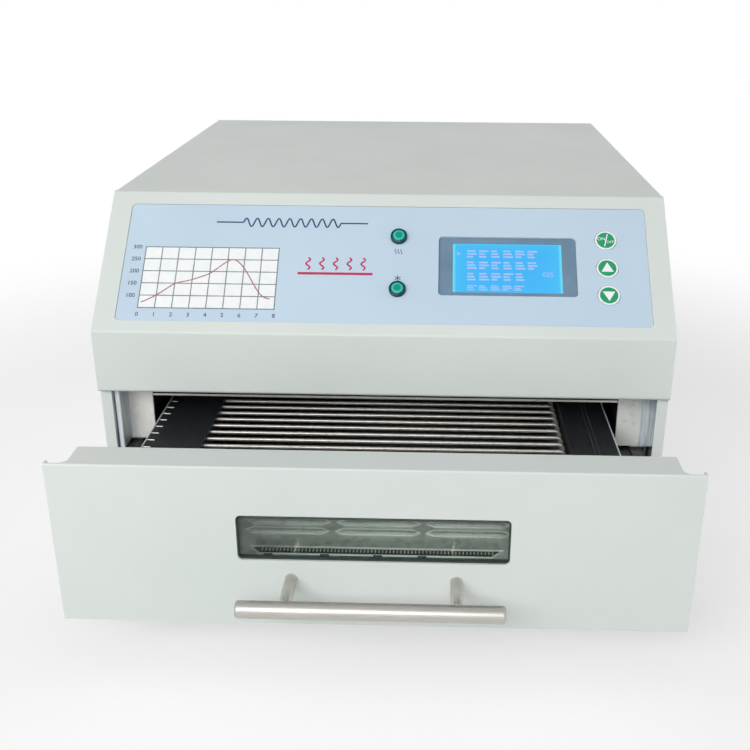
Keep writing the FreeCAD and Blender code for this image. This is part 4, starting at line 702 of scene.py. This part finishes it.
def handle():
    """Bar: a turned profile, each end of it dished and chamfered, in shares of the radius and steps inwards.
    Posts: turned pins with a groove near the foot."""
    end = [(0, -BAR_DISH), (0.55, -0.25), (0.78, 0), (0.86, 0.1), (0.955, 0.7), (0.99, 1.0), (1, 1.4)]
    near = [(share * BAR_R, BAR_DISH - BAR_HALF + step) for share, step in end]
    far = [(radius, -height) for radius, height in reversed(near)]
    bar = stood(turned(near + far, 64), (1, 0, 0), (0, BAR_Y, BAR_Z))
    piece("handle_bar_turned", [bar], "drawer", "stainless", stands_for=["handle_bar"], crease=50)
    reach = PLATE_Y - (BAR_Y + BAR_R * 0.5)
    waist = POST_R - POST_GROOVE
    foot = [(0, 0), (POST_R, 0), (POST_R, 0.15), (waist, 0.45), (waist, 1.0), (POST_R, 1.3)]
    pin = turned(foot + [(POST_R, reach), (0, reach)], 40)
    posts = [stood(pin, (0, -1, 0), (side * POST_X, PLATE_Y, BAR_Z)) for side in (-1, 1)]
    # Posts in the lighter copy of the steel: painted light
    piece("handle_posts_turned", posts, "drawer", "stainless", POST_STEEL_PAINTED_LIT, ["handle_posts"], 50)


# Rack

ROD_COUNT, ROD_PITCH, ROD_FIRST_Y = 31, 10.2, -216.7
ROD_R, ROD_Z, ROD_LEFT = 1.2, 113.4, -148.6
ROD_BEND_X, ROD_BEND_R, ROD_END_Z = 113.5, 4.0, 104.0


def at_every_rod(shape):
    """A shape repeated once for each rod: its points shifted along the drawer by whole pitches."""
    points, faces = shape
    count = np.arange(ROD_COUNT)
    offset = np.outer(ROD_FIRST_Y + ROD_PITCH * count, [0, 1, 0])
    every = (points[None] + offset[:, None]).reshape(-1, 3)
    return every, (np.asarray(faces)[None] + len(points) * count[:, None, None]).reshape(-1, 4)


def rack_rods():
    """One rod: a straight run, a quarter circle downwards and a short drop; all rods are that one at equal
    steps."""
    swing = np.linspace(0, math.pi / 2, 7)
    fall = ROD_BEND_R * (1 - np.cos(swing))
    bend = np.column_stack((ROD_BEND_X + ROD_BEND_R * np.sin(swing), ROD_Z - fall))
    straight = [[x, ROD_Z] for x in (ROD_LEFT, ROD_LEFT + 60, 0)]
    run = np.concatenate((straight, bend, [[ROD_BEND_X + ROD_BEND_R, ROD_END_Z]]))
    path = np.column_stack((run[:, 0], np.zeros(len(run)), run[:, 1]))
    rods = at_every_rod(wire(path, ROD_R, 12))
    piece("rack_rods_drawn", [rods], "drawer", "bright_wire", stands_for=["rack_rods"], crease=50)


# Panel prints

GRAPH_LEFT, GRAPH_RIGHT, GRAPH_LOW, GRAPH_HIGH = -157.6, -69.7, 17.8, 63.1
COLUMNS, ROWS = 8, 5
LEAST_HEAT, HEAT_STEP = 50, 50
INK = 0.06
RULE_HALF, CURVE_WIDTH, FIGURE_TALL = 0.32, 0.75, 2.9


def graph():
    """A ruled white field with figures along two sides, and a heating curve: straight runs between a few
    points, smoothed by a bell-weighted mean of the steps to either side."""
    low, high = FILM_TOP, FILM_TOP + 2 * INK
    field = rectangle(GRAPH_LEFT, GRAPH_RIGHT, GRAPH_LOW, GRAPH_HIGH, FILM_TOP - 0.2, FILM_TOP + INK)
    panel_piece("graph_field", [field], finish=WHITE_INK)
    across = np.linspace(GRAPH_LEFT, GRAPH_RIGHT, COLUMNS + 1)
    up = np.linspace(GRAPH_LOW, GRAPH_HIGH, ROWS + 1)
    foot, head = GRAPH_LOW - RULE_HALF, GRAPH_HIGH + RULE_HALF
    ruled = [rectangle(x - RULE_HALF, x + RULE_HALF, foot, head, low, high) for x in across]
    ruled += [
        rectangle(GRAPH_LEFT, GRAPH_RIGHT, v - RULE_HALF, v + RULE_HALF, low, high + 0.01) for v in up
    ]
    panel_piece("graph_lines", ruled, finish=GREY_INK)
    times = [0.15, 1, 2, 3, 4, 5, 5.4, 6, 7, 7.3, 7.7]
    heats = [70, 100, 150, 165, 190, 245, 255, 220, 115, 97, 90]
    steps = np.linspace(times[0], times[-1], 160)
    weights = np.hanning(19)[1:-1]
    run = np.pad(np.interp(steps, times, heats), len(weights) // 2, "edge")
    smooth = np.convolve(run, weights / weights.sum(), "valid")
    curve_x = GRAPH_LEFT + steps * (GRAPH_RIGHT - GRAPH_LEFT) / COLUMNS
    curve_v = GRAPH_LOW + (smooth - LEAST_HEAT) * (GRAPH_HIGH - GRAPH_LOW) / (ROWS * HEAT_STEP)
    curve = ribbon(np.column_stack((curve_x, curve_v)), CURVE_WIDTH, low, high + 0.02)
    panel_piece("graph_curve", [curve], finish=ROSE_INK)
    beside, under = GRAPH_LEFT - 5.6, GRAPH_LOW - 4.7
    labels = [
        figures(str(LEAST_HEAT + HEAT_STEP * row), FIGURE_TALL, beside, up[row], low, high)
        for row in range(1, ROWS + 1)
    ]
    labels += [figures(str(time), FIGURE_TALL, x, under, low, high) for time, x in enumerate(across)]
    panel_piece("graph_figures", labels, finish=NAVY_INK)


LAMP_X, LAMP_R = 8.8, 5.5
COIL_V, COIL_LEFT, COIL_RIGHT, COIL_LEAD, COIL_LINE = 83, -95, -30, 18, 1.0
HEAT_X, HEAT_PITCH, HEAT_BAR_V = -32, 9, 44.6
STAR_V, STAR_R, FINE_LINE = 41.8, 2.2, 0.45


def panel_signs():
    """Plain signs: a heating coil as a long sine between two leads, rising heat as upright sines over a bar,
    and beside the lamps three small sines for heating and three crossed bars for cooling."""
    low, high = FILM_TOP, FILM_TOP + INK
    coil = [wave(COIL_LEFT, COIL_RIGHT, COIL_V, 6.4, 9, COIL_LINE, low, high)]
    for left in (COIL_LEFT - COIL_LEAD, COIL_RIGHT):
        lead = [(left + share * COIL_LEAD, COIL_V) for share in (0, 0.5, 1)]
        coil.append(ribbon(lead, COIL_LINE, low, high))
    panel_piece("coil_sign", coil, finish=NAVY_INK)
    heat = [
        wave(47.5, 56.5, HEAT_X + step * HEAT_PITCH, 2.6, 1.5, 1.1, low, high, True) for step in range(-2, 3)
    ]
    heat.append(plate(rounded_outline(24.5, 0.9, 0.8) + [HEAT_X, HEAT_BAR_V], low, high))
    panel_piece("heat_sign", heat, finish=CRIMSON_INK)
    small = [wave(59.9, 63.7, LAMP_X + x, 0.9, 1.0, FINE_LINE, low, high, True) for x in (-1.9, 0, 1.9)]
    for layer, turn in enumerate(np.radians([90, 30, 150])):
        arm = STAR_R * np.array([math.cos(turn), math.sin(turn)])
        bar = [np.array([LAMP_X, STAR_V]) + end * arm for end in (-1, 0, 1)]
        small.append(ribbon(bar, FINE_LINE, low, high + 0.01 * layer))
    panel_piece("lamp_signs", small, finish=NAVY_INK)


LENS_R, LENS_FOOT, LENS_TOP, LENS_CROWN = 4.2, -0.5, 1.8, 0.9
LAMP_V = {"heat_lamp": 72.8, "cool_lamp": 33.3}


def lamps():
    """A moulded lens: a turned rim, a shallow groove and a dome, tinted by the distance from the axis into
    a painted highlight ring and painted shade at the rim.
    """
    rim = [(LAMP_R, LENS_FOOT), (LAMP_R, 1.5), (5.3, 2.0), (4.9, 2.2), (4.5, 2.1), (4.3, LENS_TOP)]
    swing = np.linspace(0.15, math.pi / 2, 9)
    dome = [(LENS_R * math.cos(a), LENS_TOP + LENS_CROWN * math.sin(a)) for a in swing]
    lens = turned(rim + dome + [(0, LENS_FOOT)], 48)
    spread = np.linalg.norm(lens[0][:, :2], axis=1) / LAMP_R
    for name, uphill in LAMP_V.items():
        panel_piece(
            f"{name}_lens", [moved(lens, (LAMP_X, uphill, 0))], slot="lamp_green",
            stands_for=[name], crease=40, marks={"spread": spread},
        )


KEY_X, KEY_TOP, KEY_FOOT = 144.5, -0.25, -2.2
CAP_R, RING_IN, RING_OUT = 5.85, 5.86, 7.0


def keys():
    """Caps: turned discs with a faint crown, a white turned ring round each, and a flat sign on top."""
    crown = [(0, KEY_TOP), (3, KEY_TOP - 0.01), (5.4, KEY_TOP - 0.05), (CAP_R, KEY_TOP - 0.12)]
    cap = turned(crown + [(CAP_R, KEY_FOOT), (0, KEY_FOOT)], 48)
    inside = [(RING_IN, KEY_FOOT), (RING_IN, KEY_TOP - 0.1), (6.0, KEY_TOP)]
    outside = [(6.8, KEY_TOP), (RING_OUT, KEY_TOP - 0.2), (RING_OUT, KEY_FOOT)]
    ring = turned(inside + outside, 48, True)
    low, high = KEY_TOP - 0.15, KEY_TOP
    point_up = np.array([(-4.0, -2.7), (4.0, -2.7), (0, 4.2)])
    on_off = [figures("ON", 2.3, -2.9, 1.1, low, high), figures("OFF", 2.0, 2.9, -1.3, low, high)]
    on_off.append(ribbon([(-0.9, -4.6), (0.2, 0), (1.3, 4.6)], 0.7, low, high))
    for key, uphill, sign in (
        ("power_key", 72.3, on_off),
        ("up_key", 51.3, [plate(point_up, low, high)]),
        ("down_key", 31.3, [plate(-point_up, low, high)]),
    ):
        spot = (KEY_X, uphill, 0)
        panel_piece(f"{key}_cap", [moved(cap, spot)], key, slot="key_green", stands_for=[key], crease=40)
        panel_piece(f"{key}_ring", [moved(ring, spot)], key, finish=WHITE_INK)
        panel_piece(f"{key}_sign", [moved(each, spot) for each in sign], key, finish=WHITE_INK)


SCREEN_X, SCREEN_V, SCREEN_HALF_X, SCREEN_HALF_V = 80.0, 50.55, 35.5, 19.25
SCREEN_FOOT, SCREEN_TOP = -3.6, -2.8
BORDER_LOW, BORDER_HIGH = 31.3, 33.4
LINE_LEFT = 53.8
# Each line of marks: its height on the panel, its places, their step and width, and how tall they are
LINES = [
    (62.2, 6, 7.9, 6.3, 5.6),
    (53.6, 6, 7.9, 6.3, 5.6),
    (45.1, 5, 7.9, 6.3, 5.6),
    (36.9, 5, 7.6, 6.4, 3.6),
]


def display():
    """Lit glass: a flat plate with small round corners. Marks: three bars in each place of a line, with
    lengths that follow the remainder of a running count, a pointer, and plain figures."""
    outline = rounded_outline(SCREEN_HALF_X, SCREEN_HALF_V, 0.8) + [SCREEN_X, SCREEN_V]
    glass = plate(outline, SCREEN_FOOT, SCREEN_TOP)
    panel_piece("display_glass_lit", [glass], slot="display_lit", stands_for=["display_glass"], crease=40)
    left, right = SCREEN_X - SCREEN_HALF_X, SCREEN_X + SCREEN_HALF_X
    low, high = SCREEN_TOP - 0.1, SCREEN_TOP + 0.04
    border = rectangle(left, right, BORDER_LOW, BORDER_HIGH, low, SCREEN_TOP + 0.06)
    panel_piece("display_border", [border], slot="display_grey")
    marks = []
    for row, (uphill, places, step, width, tall) in enumerate(LINES):
        for place in range(places):
            start = LINE_LEFT + place * step
            for bar in range(3):
                long = width * (0.62 + 0.38 * ((place * 5 + row * 3 + bar * 7) % 4) / 3)
                v = uphill + (bar - 1) * tall / 2.6
                marks.append(rectangle(start, start + long, v - tall * 0.11, v + tall * 0.11, low, high))
    marks.append(figures("025", 3.4, 106.2, 47.2, low, high))
    marks.append(plate([(47.2, 60.8), (49.6, 62.2), (47.2, 63.6)], low, high))
    panel_piece("display_marks", marks, finish=MARK)


# Rack details and the opening

SHELF_TOP, SHELF_FRONT, SHELF_BACK, SHELF_EDGE = 116.8, -221.5, 97.5, 150.0
SHELF_LINE_X, SHELF_LINE_Z = (134.8, 137.6), 116.95


def along_shelf(x, z, radius):
    """A straight wire from the front of a shelf to its back."""
    return wire([(x, y, z) for y in (SHELF_FRONT, (SHELF_FRONT + SHELF_BACK) / 2, SHELF_BACK)], radius, 8)


def shelf_trim():
    """Rod ends: short wires lying in the slots, each end dipping a little. Pale edges: thin wires along the
    shelves' outer edges, a painted highlight of their bends, and two finer grey ones along the right shelf,
    a painted highlight of pressed lines."""
    dip = SHELF_TOP - 0.2
    end = [(-149.2, 0, dip), (-148.9, 0, SHELF_TOP), (-145.0, 0, SHELF_TOP), (-144.6, 0, dip)]
    piece("rod_ends", [at_every_rod(wire(end, 0.55))], "drawer", "bright_wire")
    # Pale wires on the shelf edges: painted highlight of the bends
    edges = [along_shelf(side * SHELF_EDGE, SHELF_TOP, 0.5) for side in (-1, 1)]
    piece("shelf_edges", edges, "drawer", "zinc_steel", FOLD_PAINTED_HIGHLIGHT)
    # Grey lines on the right shelf: painted highlights of pressed lines
    lines = [along_shelf(x, SHELF_LINE_Z, 0.22) for x in SHELF_LINE_X]
    piece("shelf_lines", lines, "drawer", "black_paint", LINE_PAINTED_HIGHLIGHT)


FRAME_FRONT, FRAME_BACK, FRAME_INNER = -120.0, -65.4, 157.0
FRAME_LOW, FRAME_HIGH = 96.6, 140.2
FRAME_MIDDLE, FRAME_TALL = (FRAME_LOW + FRAME_HIGH) / 2, (FRAME_HIGH - FRAME_LOW) / 2
LINTEL_HEM, LINTEL_TOP, LINTEL_HALF = 130.0, 137.0, 156.4
# Each folded strip beside a plate: its left and right side, and how far it reaches forward
FRAME_STRIPS = {"left": [(-180.5, -177.8, 19.0), (-177.0, -173.6, 17.5)], "right": [(173.0, 182.6, 1.6)]}


def frame_strips():
    """Folded edges beside the plates: flat strips with round corners, stood upright on the frames' front, the
    left ones reaching forward along the post, in a pale finish that paints on their reflection."""
    for hand, spans in FRAME_STRIPS.items():
        shapes = []
        for left, right, reach in spans:
            points, faces = plate(rounded_outline((right - left) / 2, FRAME_TALL, 0.6), -1.0, reach, 0.5)
            upright = np.column_stack((points[:, 0], -points[:, 2], points[:, 1]))
            shapes.append((upright + [(left + right) / 2, FRAME_FRONT, FRAME_MIDDLE], faces))
        # Pale fold finish: painted reflection
        piece(f"frame_strips_{hand}", shapes, "case", "zinc_steel", FOLD_PAINTED_HIGHLIGHT)


def throat_linings():
    """Painted shade in the opening: flat black sheets on the frames' inner faces, and a black strip along
    the lintel above its bright hem, a painted shadow line."""
    deep = (FRAME_BACK - FRAME_FRONT) / 2 - 0.5
    middle = [(FRAME_BACK + FRAME_FRONT) / 2 + 0.4, FRAME_MIDDLE]
    points, faces = plate(rounded_outline(deep, FRAME_TALL, 1.0) + middle, -0.05, 0.35)
    inward = FRAME_INNER - points[:, 2]
    sheets = [(np.column_stack((side * inward, points[:, :2])), faces) for side in (-1, 1)]
    # Black sheets where the frames' inner faces lie in shade: painted shade
    piece("throat_linings", sheets, "case", "black_paint")
    # Black strip where the fascia's edge casts a shadow line on the lintel: painted shadow
    points, faces = rectangle(-LINTEL_HALF, LINTEL_HALF, LINTEL_HEM, LINTEL_TOP, -0.1, 0.8)
    strip = np.column_stack((points[:, 0], FRAME_FRONT - points[:, 2], points[:, 1]))
    piece("lintel_painted_shadow", [(strip, faces)], "case", "black_rubber")


# What shows through the window

FLOOR_TOP = 42.0
RIB_HALF, RIB_DEEP, RIB_TAPER, RIB_TALL = 28.5, 3.3, 5.0, 1.6
RIB_SPOTS = [(middle, row) for middle in (-65.2, -3.1, 58.7) for row in (-136.4, -148.4)]
TROUGH = np.array([(-87, -169), (81, -169), (72.6, -177.6), (-79, -177.6)])
TEETH_X, TOOTH_PITCH, TOOTH_WIDE = (-78, 74), 2.4, 0.6
RETAINER_TOP, RETAINER_FRONT, RETAINER_BACK = 79.5, -238.0, -237.0
CLIP_HALF, CLIP_X = 2.6, (-62, -29, 2, 28)


def pressed_rib(middle, row):
    """A pressed rib: a flat-topped hump whose width and height run out to nothing over its taper."""
    length = 2 * RIB_HALF
    ends = np.linspace(0, RIB_TAPER, 7)
    along = np.concatenate((ends, np.linspace(8, length - 8, 5), length - ends[::-1]))
    share = np.clip(np.minimum(along, length - along) / RIB_TAPER, 0, 1)
    across = np.array([-1, -0.8, -0.45, 0.45, 0.8, 1, 0])
    rise = np.array([0, 0.35, 1, 1, 0.35, 0, -0.15])
    x = np.repeat((middle - RIB_HALF + along)[:, None], len(across), axis=1)
    y = row + RIB_DEEP * np.outer(share, across)
    z = FLOOR_TOP - 0.1 + RIB_TALL * np.outer(share, rise)
    return skin(np.stack((x, y, z), axis=-1))


def bead(corners, level, radius):
    """A thin bead round a flat outline: each side is divided evenly and a round wire runs along it."""
    share = np.linspace(0, 1, 12, endpoint=False)[None, :, None]
    around = corners[:, None] * (1 - share) + np.roll(corners, -1, axis=0)[:, None] * share
    return wire(at_level(around.reshape(-1, 2), level), radius, 8, True)


def floor_pressings():
    """Two rows of pressed ribs outlined by pale beads, a trough with a pale rolled rim and a row of teeth,
    and clips whose hooked section folds over the strip that holds the glass. The pale beads and rim are
    painted highlights."""
    ribs = [pressed_rib(*spot) for spot in RIB_SPOTS]
    piece("floor_ribs", ribs, "drawer", "zinc_steel", DULL_ZINC)
    flat = RIB_HALF - RIB_TAPER
    half = [(-RIB_HALF, 0), (-flat, -RIB_DEEP), (flat, -RIB_DEEP)]
    hexagon = np.array(half + [(-x, -y) for x, y in half])
    # Pale beads round the ribs: painted highlights of their edges
    highlight_beads = [bead(hexagon + spot, FLOOR_TOP + 0.6, 0.75) for spot in RIB_SPOTS]
    piece("rib_painted_highlights", highlight_beads, "drawer", "zinc_steel")
    # Pale rim of the trough: painted highlight along its bend
    piece("trough_rim", [bead(TROUGH, FLOOR_TOP + 0.5, 0.75)], "drawer", "zinc_steel")
    piece("trough_bed", [plate(TROUGH, FLOOR_TOP - 0.2, FLOOR_TOP + 0.25)], "drawer", "black_paint")
    teeth = [
        rectangle(x, x + TOOTH_WIDE, -174.0, -171.0, FLOOR_TOP, FLOOR_TOP + 0.8)
        for x in np.arange(*TEETH_X, TOOTH_PITCH)
    ]
    piece("trough_teeth", teeth, "drawer", "zinc_steel", DULL_ZINC)
    front, back, inner = RETAINER_FRONT + 0.1, RETAINER_BACK + 0.8, RETAINER_BACK - 0.05
    top, under, foot = RETAINER_TOP + 0.6, RETAINER_TOP - 0.05, RETAINER_TOP - 2.7
    hook = [(front, under), (front, top - 0.2), (front + 0.2, top), (back - 0.2, top), (back, top - 0.2)]
    hook += [(back, foot), (inner, foot), (inner, under)]
    points, faces = plate(hook, -CLIP_HALF, CLIP_HALF)
    clips = [(np.column_stack((points[:, 2] + x, points[:, :2])), faces) for x in CLIP_X]
    piece("window_clips", clips, "drawer", "black_rubber")


# Back, sides and underside

FAN_Z, FAN_BOLTS = 150.0, 41.25
CORNERS = [(across, up) for across in (-1, 1) for up in (-1, 1)]
SIDE_X, SIDE_Z, SIDE_Y = 185.0, 28, (-85, 30, 145, 253)
FOOT_X, FOOT_Z, FOOT_Y = 150.0, 11, (-97, 240)


def screws():
    """Pan heads wherever a screw shows: one head, stood on each spot."""
    head = screw_head()
    heads = [stood(head, (side, 0, 0), (side * SIDE_X, y, SIDE_Z)) for side in (-1, 1) for y in SIDE_Y]
    heads += [stood(head, (0, 0, -1), (side * FOOT_X, y, FOOT_Z)) for side in (-1, 1) for y in FOOT_Y]
    piece("case_screw_heads", heads, "case", "screw_zinc", stands_for=["case_screws"], crease=40)
    back = [(x, BACK_Y, z) for x in (-165, 0, 165) for z in (29, 247)]
    back += [(x, BACK_Y + 2.5, 60) for x in (-140, -100)]
    back += [(across * FAN_BOLTS, BACK_Y + 2.2, FAN_Z + up * FAN_BOLTS) for across, up in CORNERS]
    heads = [stood(head, (0, 1, 0), spot) for spot in back]
    piece("rear_screw_heads", heads, "case", "screw_zinc", stands_for=["rear_screws"], crease=40)


GUARD_R, GUARD_RINGS, EYE_R = 0.9, (12, 22, 32, 42), 3.5
RING_Y, CROSS_Y, EYE_Y = 280.1, 278.3, 276.7


def fan_guard():
    """Rings: circles carried by a round wire. Cross: two straight wires, each end dropping to a small eye
    round a bolt."""
    turn = angles(72)
    circle = np.column_stack((np.cos(turn), np.zeros(72), np.sin(turn)))
    wires = [wire(circle * radius + [0, RING_Y, FAN_Z], GUARD_R, closed=True) for radius in GUARD_RINGS]
    reach = FAN_BOLTS * math.sqrt(2) - 4.0
    steps = np.array([-1, -0.93, -0.86, 0, 0.86, 0.93, 1]) * reach
    drop = CROSS_Y - np.array([1.4, 1.0, 0, 0, 0, 1.0, 1.4])
    for tilt in (math.radians(45), math.radians(135)):
        path = np.column_stack((steps * math.cos(tilt), drop, FAN_Z + steps * math.sin(tilt)))
        square = np.array([-math.sin(tilt), 0, math.cos(tilt)])
        wires.append(wire(path, GUARD_R, helper=square))
    for across, up in CORNERS:
        bolt = [across * FAN_BOLTS, EYE_Y, FAN_Z + up * FAN_BOLTS]
        wires.append(wire(circle[::3] * EYE_R + bolt, GUARD_R, closed=True))
    piece("fan_guard_wires", wires, "case", "screw_zinc", stands_for=["fan_guard"], crease=50)


BLADES, BLADE_ROWS, BLADE_POINTS = 7, 9, 20
BLADE_Y, HUB_Y = 259.8, 252.6


def impeller():
    """Blades: a thin cambered section carried outwards while its pitch flattens; each point keeps its
    distance from the axis and is swung round it. Hub: a turned drum with a rolled edge."""
    loop = angles(BLADE_POINTS)
    radius = np.linspace(17.0, 41.2, BLADE_ROWS)[:, None]
    chord = np.linspace(19, 22, BLADE_ROWS)[:, None]
    pitch = np.radians(np.linspace(46, 34, BLADE_ROWS))[:, None]
    along = 0.5 * chord * np.cos(loop)
    lift = 0.75 * np.sin(loop) + 1.8 * (1 - np.cos(loop) ** 2)
    around = along * np.cos(pitch) - lift * np.sin(pitch)
    axial = BLADE_Y + along * np.sin(pitch) + lift * np.cos(pitch)
    shapes = []
    for blade in range(BLADES):
        swing = TURN / BLADES * blade + around / radius
        points = np.stack((radius * np.cos(swing), axial, FAN_Z + radius * np.sin(swing)), axis=-1)
        shapes.append(skin(points, capped=True))
    drum = [(0, 0), (16.2, 0), (17.4, 0.6), (18, 1.8), (18, 14.6), (17.6, 15.2), (0, 15.2)]
    shapes.append(stood(turned(drum, 48), (0, 1, 0), (0, HUB_Y, FAN_Z)))
    piece("impeller_blades", shapes, "fan_rotor", "black_plastic", stands_for=["fan_impeller"], crease=40)


FUSE_X, FUSE_Z = -72, 60
GRIPS, GRIP_DEEP = 12, 0.035
ROCKER_AT, ROCKER_REST = [-120, 271.7, 102], math.radians(9)


def rear_fittings():
    """Fuse holder: a turned collar, and a cap whose radius steps in wherever the cosine of twelve times the
    angle is high. Switch marks: a bar and a ring on the two slopes of the rocker."""
    collar = turned([(0, 0), (8.5, 0), (8.5, 1.4), (8.1, 2.0), (0, 2.0)], 48)
    profile = [(0, 1.9), (6.4, 1.9), (6.5, 2.1), (6.5, 4.3), (5.9, 5.0), (0, 5.0)]
    points, faces = turned(profile, 96)
    groove = 1 - GRIP_DEEP * (np.cos(angles(96) * GRIPS) > 0.55)
    points[:, :2] *= np.tile(groove, len(profile))[:, None]
    fuse = [stood(each, (0, 1, 0), (FUSE_X, BACK_Y, FUSE_Z)) for each in (collar, (points, faces))]
    piece("fuse_cap_turned", fuse, "case", "black_plastic", stands_for=["fuse_holder"], crease=40)
    tilt = np.array(Matrix.Rotation(ROCKER_REST, 3, "X"))
    bar = plate(rounded_outline(2.4, 0.5, 0.3), -0.2, 0.06)
    ring = turned([(1.6, -0.2), (1.6, 0.06), (2.3, 0.06), (2.3, -0.2)], 40, True)
    marks = []
    for shape, end in ((bar, 1), (ring, -1)):
        spot = tilt @ [0, 6.59, 5.83 * end] + ROCKER_AT
        marks.append(stood(shape, tilt @ [0, 0.986, -0.167 * end], spot))
    piece("rocker_marks", marks, "rocker", finish=WHITE_INK)


TUBES, HELIX_TURNS, HELIX_R, HELIX_WIRE = 5, 80, 2.1, 0.35
HELIX_HALF, HELIX_Z, HELIX_FIRST_Y, HELIX_PITCH = 158, 184, -30, 52.5


def heater_coils():
    """A helix in each quartz tube: a point goes round the tube's axis while it moves along."""
    steps = np.linspace(0, 1, HELIX_TURNS * 10 + 1)
    swing = steps * HELIX_TURNS * TURN
    along = HELIX_HALF * (2 * steps - 1)
    path = np.column_stack((along, HELIX_R * np.cos(swing), HELIX_Z + HELIX_R * np.sin(swing)))
    coil = wire(path, HELIX_WIRE, 5, helper=np.array([1.0, 0, 0]))
    coils = [moved(coil, (0, HELIX_FIRST_Y + HELIX_PITCH * tube, 0)) for tube in range(TUBES)]
    piece("filament_coils", coils, "case", "filament", stands_for=["heating_filaments"], crease=60)


# Floor, light and camera, in metres

GROUND_HALF, GROUND_GREY, GROUND_LIFT = 30.0, (0.62, 0.62, 0.62, 1), 0.44
FADE_START, FADE_END = 0.36, 0.9


def floor():
    """A wide pale floor. Close to the oven it takes light and shadow; seen by the camera it is lifted, and it
    fades to white with the distance from the oven."""
    corners = [(-1, -1), (1, -1), (1, 1), (-1, 1)]
    mesh = bpy.data.meshes.new("floor")
    mesh.from_pydata([(x * GROUND_HALF, y * GROUND_HALF, 0) for x, y in corners], [], [(0, 1, 2, 3)])
    f = Finish("pale_floor")
    f.tree.nodes.remove(f.shader)
    matt = f.node("BsdfDiffuse", {"Color": GROUND_GREY}).outputs[0]
    lift = f.node("Emission", {"Strength": GROUND_LIFT}).outputs[0]
    white = f.node("Emission").outputs[0]
    span = f.node("VectorMath", {0: f.point}, operation="LENGTH").outputs["Value"]
    fade = {"Value": span, "From Min": FADE_START, "From Max": FADE_END}
    away = f.node("MapRange", fade, interpolation_type="SMOOTHSTEP").outputs["Result"]
    lifted = f.node("AddShader", {0: matt, 1: lift}).outputs[0]
    view = f.node("MixShader", {0: away, 1: lifted, 2: white}).outputs[0]
    mesh.materials.append(f.surface(f.node("MixShader", {0: f.seen(), 1: matt, 2: view})))
    thing = placed("floor", mesh)


LIT_SPOT = Vector((0, -0.1, 0.15))
# Each lamp: degrees to the left of the front and up, distance, width, height and power
STUDIO = {
    "key": (21, 30, 2.2, 2.2, 0.8, 29.0),
    "right_fill": (-95, 10, 2.4, 1.4, 1.4, 12.0),
    "left_fill": (97, 8, 2.4, 1.4, 1.4, 10.0),
    "back_fill": (175, 3, 2.4, 1.4, 0.6, 20.0),
}
SURROUND_FRONT, SURROUND_BACK, OVERHEAD_DARK = 0.6, 0.06, -0.28


def lights():
    """A wide soft light from the upper left front, weak ones for the sides and the back, and a pale surround
    that metal sees darken overhead."""
    for name, (left, up, distance, wide, tall, power) in STUDIO.items():
        lamp = bpy.data.lights.new(name, "AREA")
        lamp.shape = "RECTANGLE"
        lamp.size = wide
        lamp.size_y = tall
        lamp.energy = power
        thing = placed(name, lamp)
        bearing, height = math.radians(left), math.radians(up)
        level = Vector((-math.sin(bearing), -math.cos(bearing), 0))
        away = level * math.cos(height) + Vector((0, 0, math.sin(height)))
        thing.location = LIT_SPOT + away * distance
        thing.rotation_euler = away.to_track_quat("Z", "Y").to_euler()
        thing.visible_glossy = name == "key"
    world = bpy.data.worlds.new("surround")
    world.use_nodes = True
    wiring = Wiring(world.node_tree)
    heading = wiring.node("SeparateXYZ", {0: wiring.node("TexCoord").outputs["Generated"]}).outputs
    ambient = wiring.range(heading["Y"], SURROUND_FRONT, SURROUND_BACK, -1.0, 1.0)
    overhead = wiring.range(heading["Z"], 0.0, OVERHEAD_DARK, 0.25, 0.9)
    mirrored = wiring.sum(1.0, overhead, wiring.node("LightPath").outputs["Is Glossy Ray"])
    sky = wiring.tree.nodes["Background"]
    sky.inputs["Color"].default_value = WHITE
    wiring.join(wiring.range(wiring.seen(), ambient, mirrored, 0.0, 1.0), sky.inputs["Strength"])
    bpy.context.scene.world = world


# The photograph's view, as solved from the case's edges: place, turns in radians, and framing in pixels
EYE = Vector((32.7401, -738.2722, 396.7114)) * MM
HEADING, TILT, ROLL = -0.027154684, 0.388060494, 0.005434729
FOCAL_PX, MIDDLE_X, MIDDLE_Y, PICTURE = 1001.3257, 407.8718, 377.6993, 750.0


def camera():
    """The view starts level along the depth and is turned by the heading, the tilt and the roll."""
    lens = bpy.data.cameras.new("photo_view")
    lens.sensor_width = 36.0
    lens.lens = FOCAL_PX / PICTURE * lens.sensor_width
    lens.shift_x = (PICTURE / 2 - MIDDLE_X) / PICTURE
    lens.shift_y = (MIDDLE_Y - PICTURE / 2) / PICTURE
    lens.clip_end = 200
    thing = placed("photo_view", lens)
    tilted = Matrix.Rotation(-HEADING, 4, "Z") @ Matrix.Rotation(math.pi / 2 - TILT, 4, "X")
    thing.matrix_world = Matrix.Translation(EYE) @ tilted @ Matrix.Rotation(ROLL, 4, "Z")
    bpy.context.scene.camera = thing


for make in (
    handle, rack_rods, graph, panel_signs, lamps, keys, display, shelf_trim, frame_strips, throat_linings,
    floor_pressings, screws, fan_guard, impeller, rear_fittings, heater_coils, floor, lights, camera,
):
    make()
bpy.context.scene.view_settings.view_transform = "Standard"
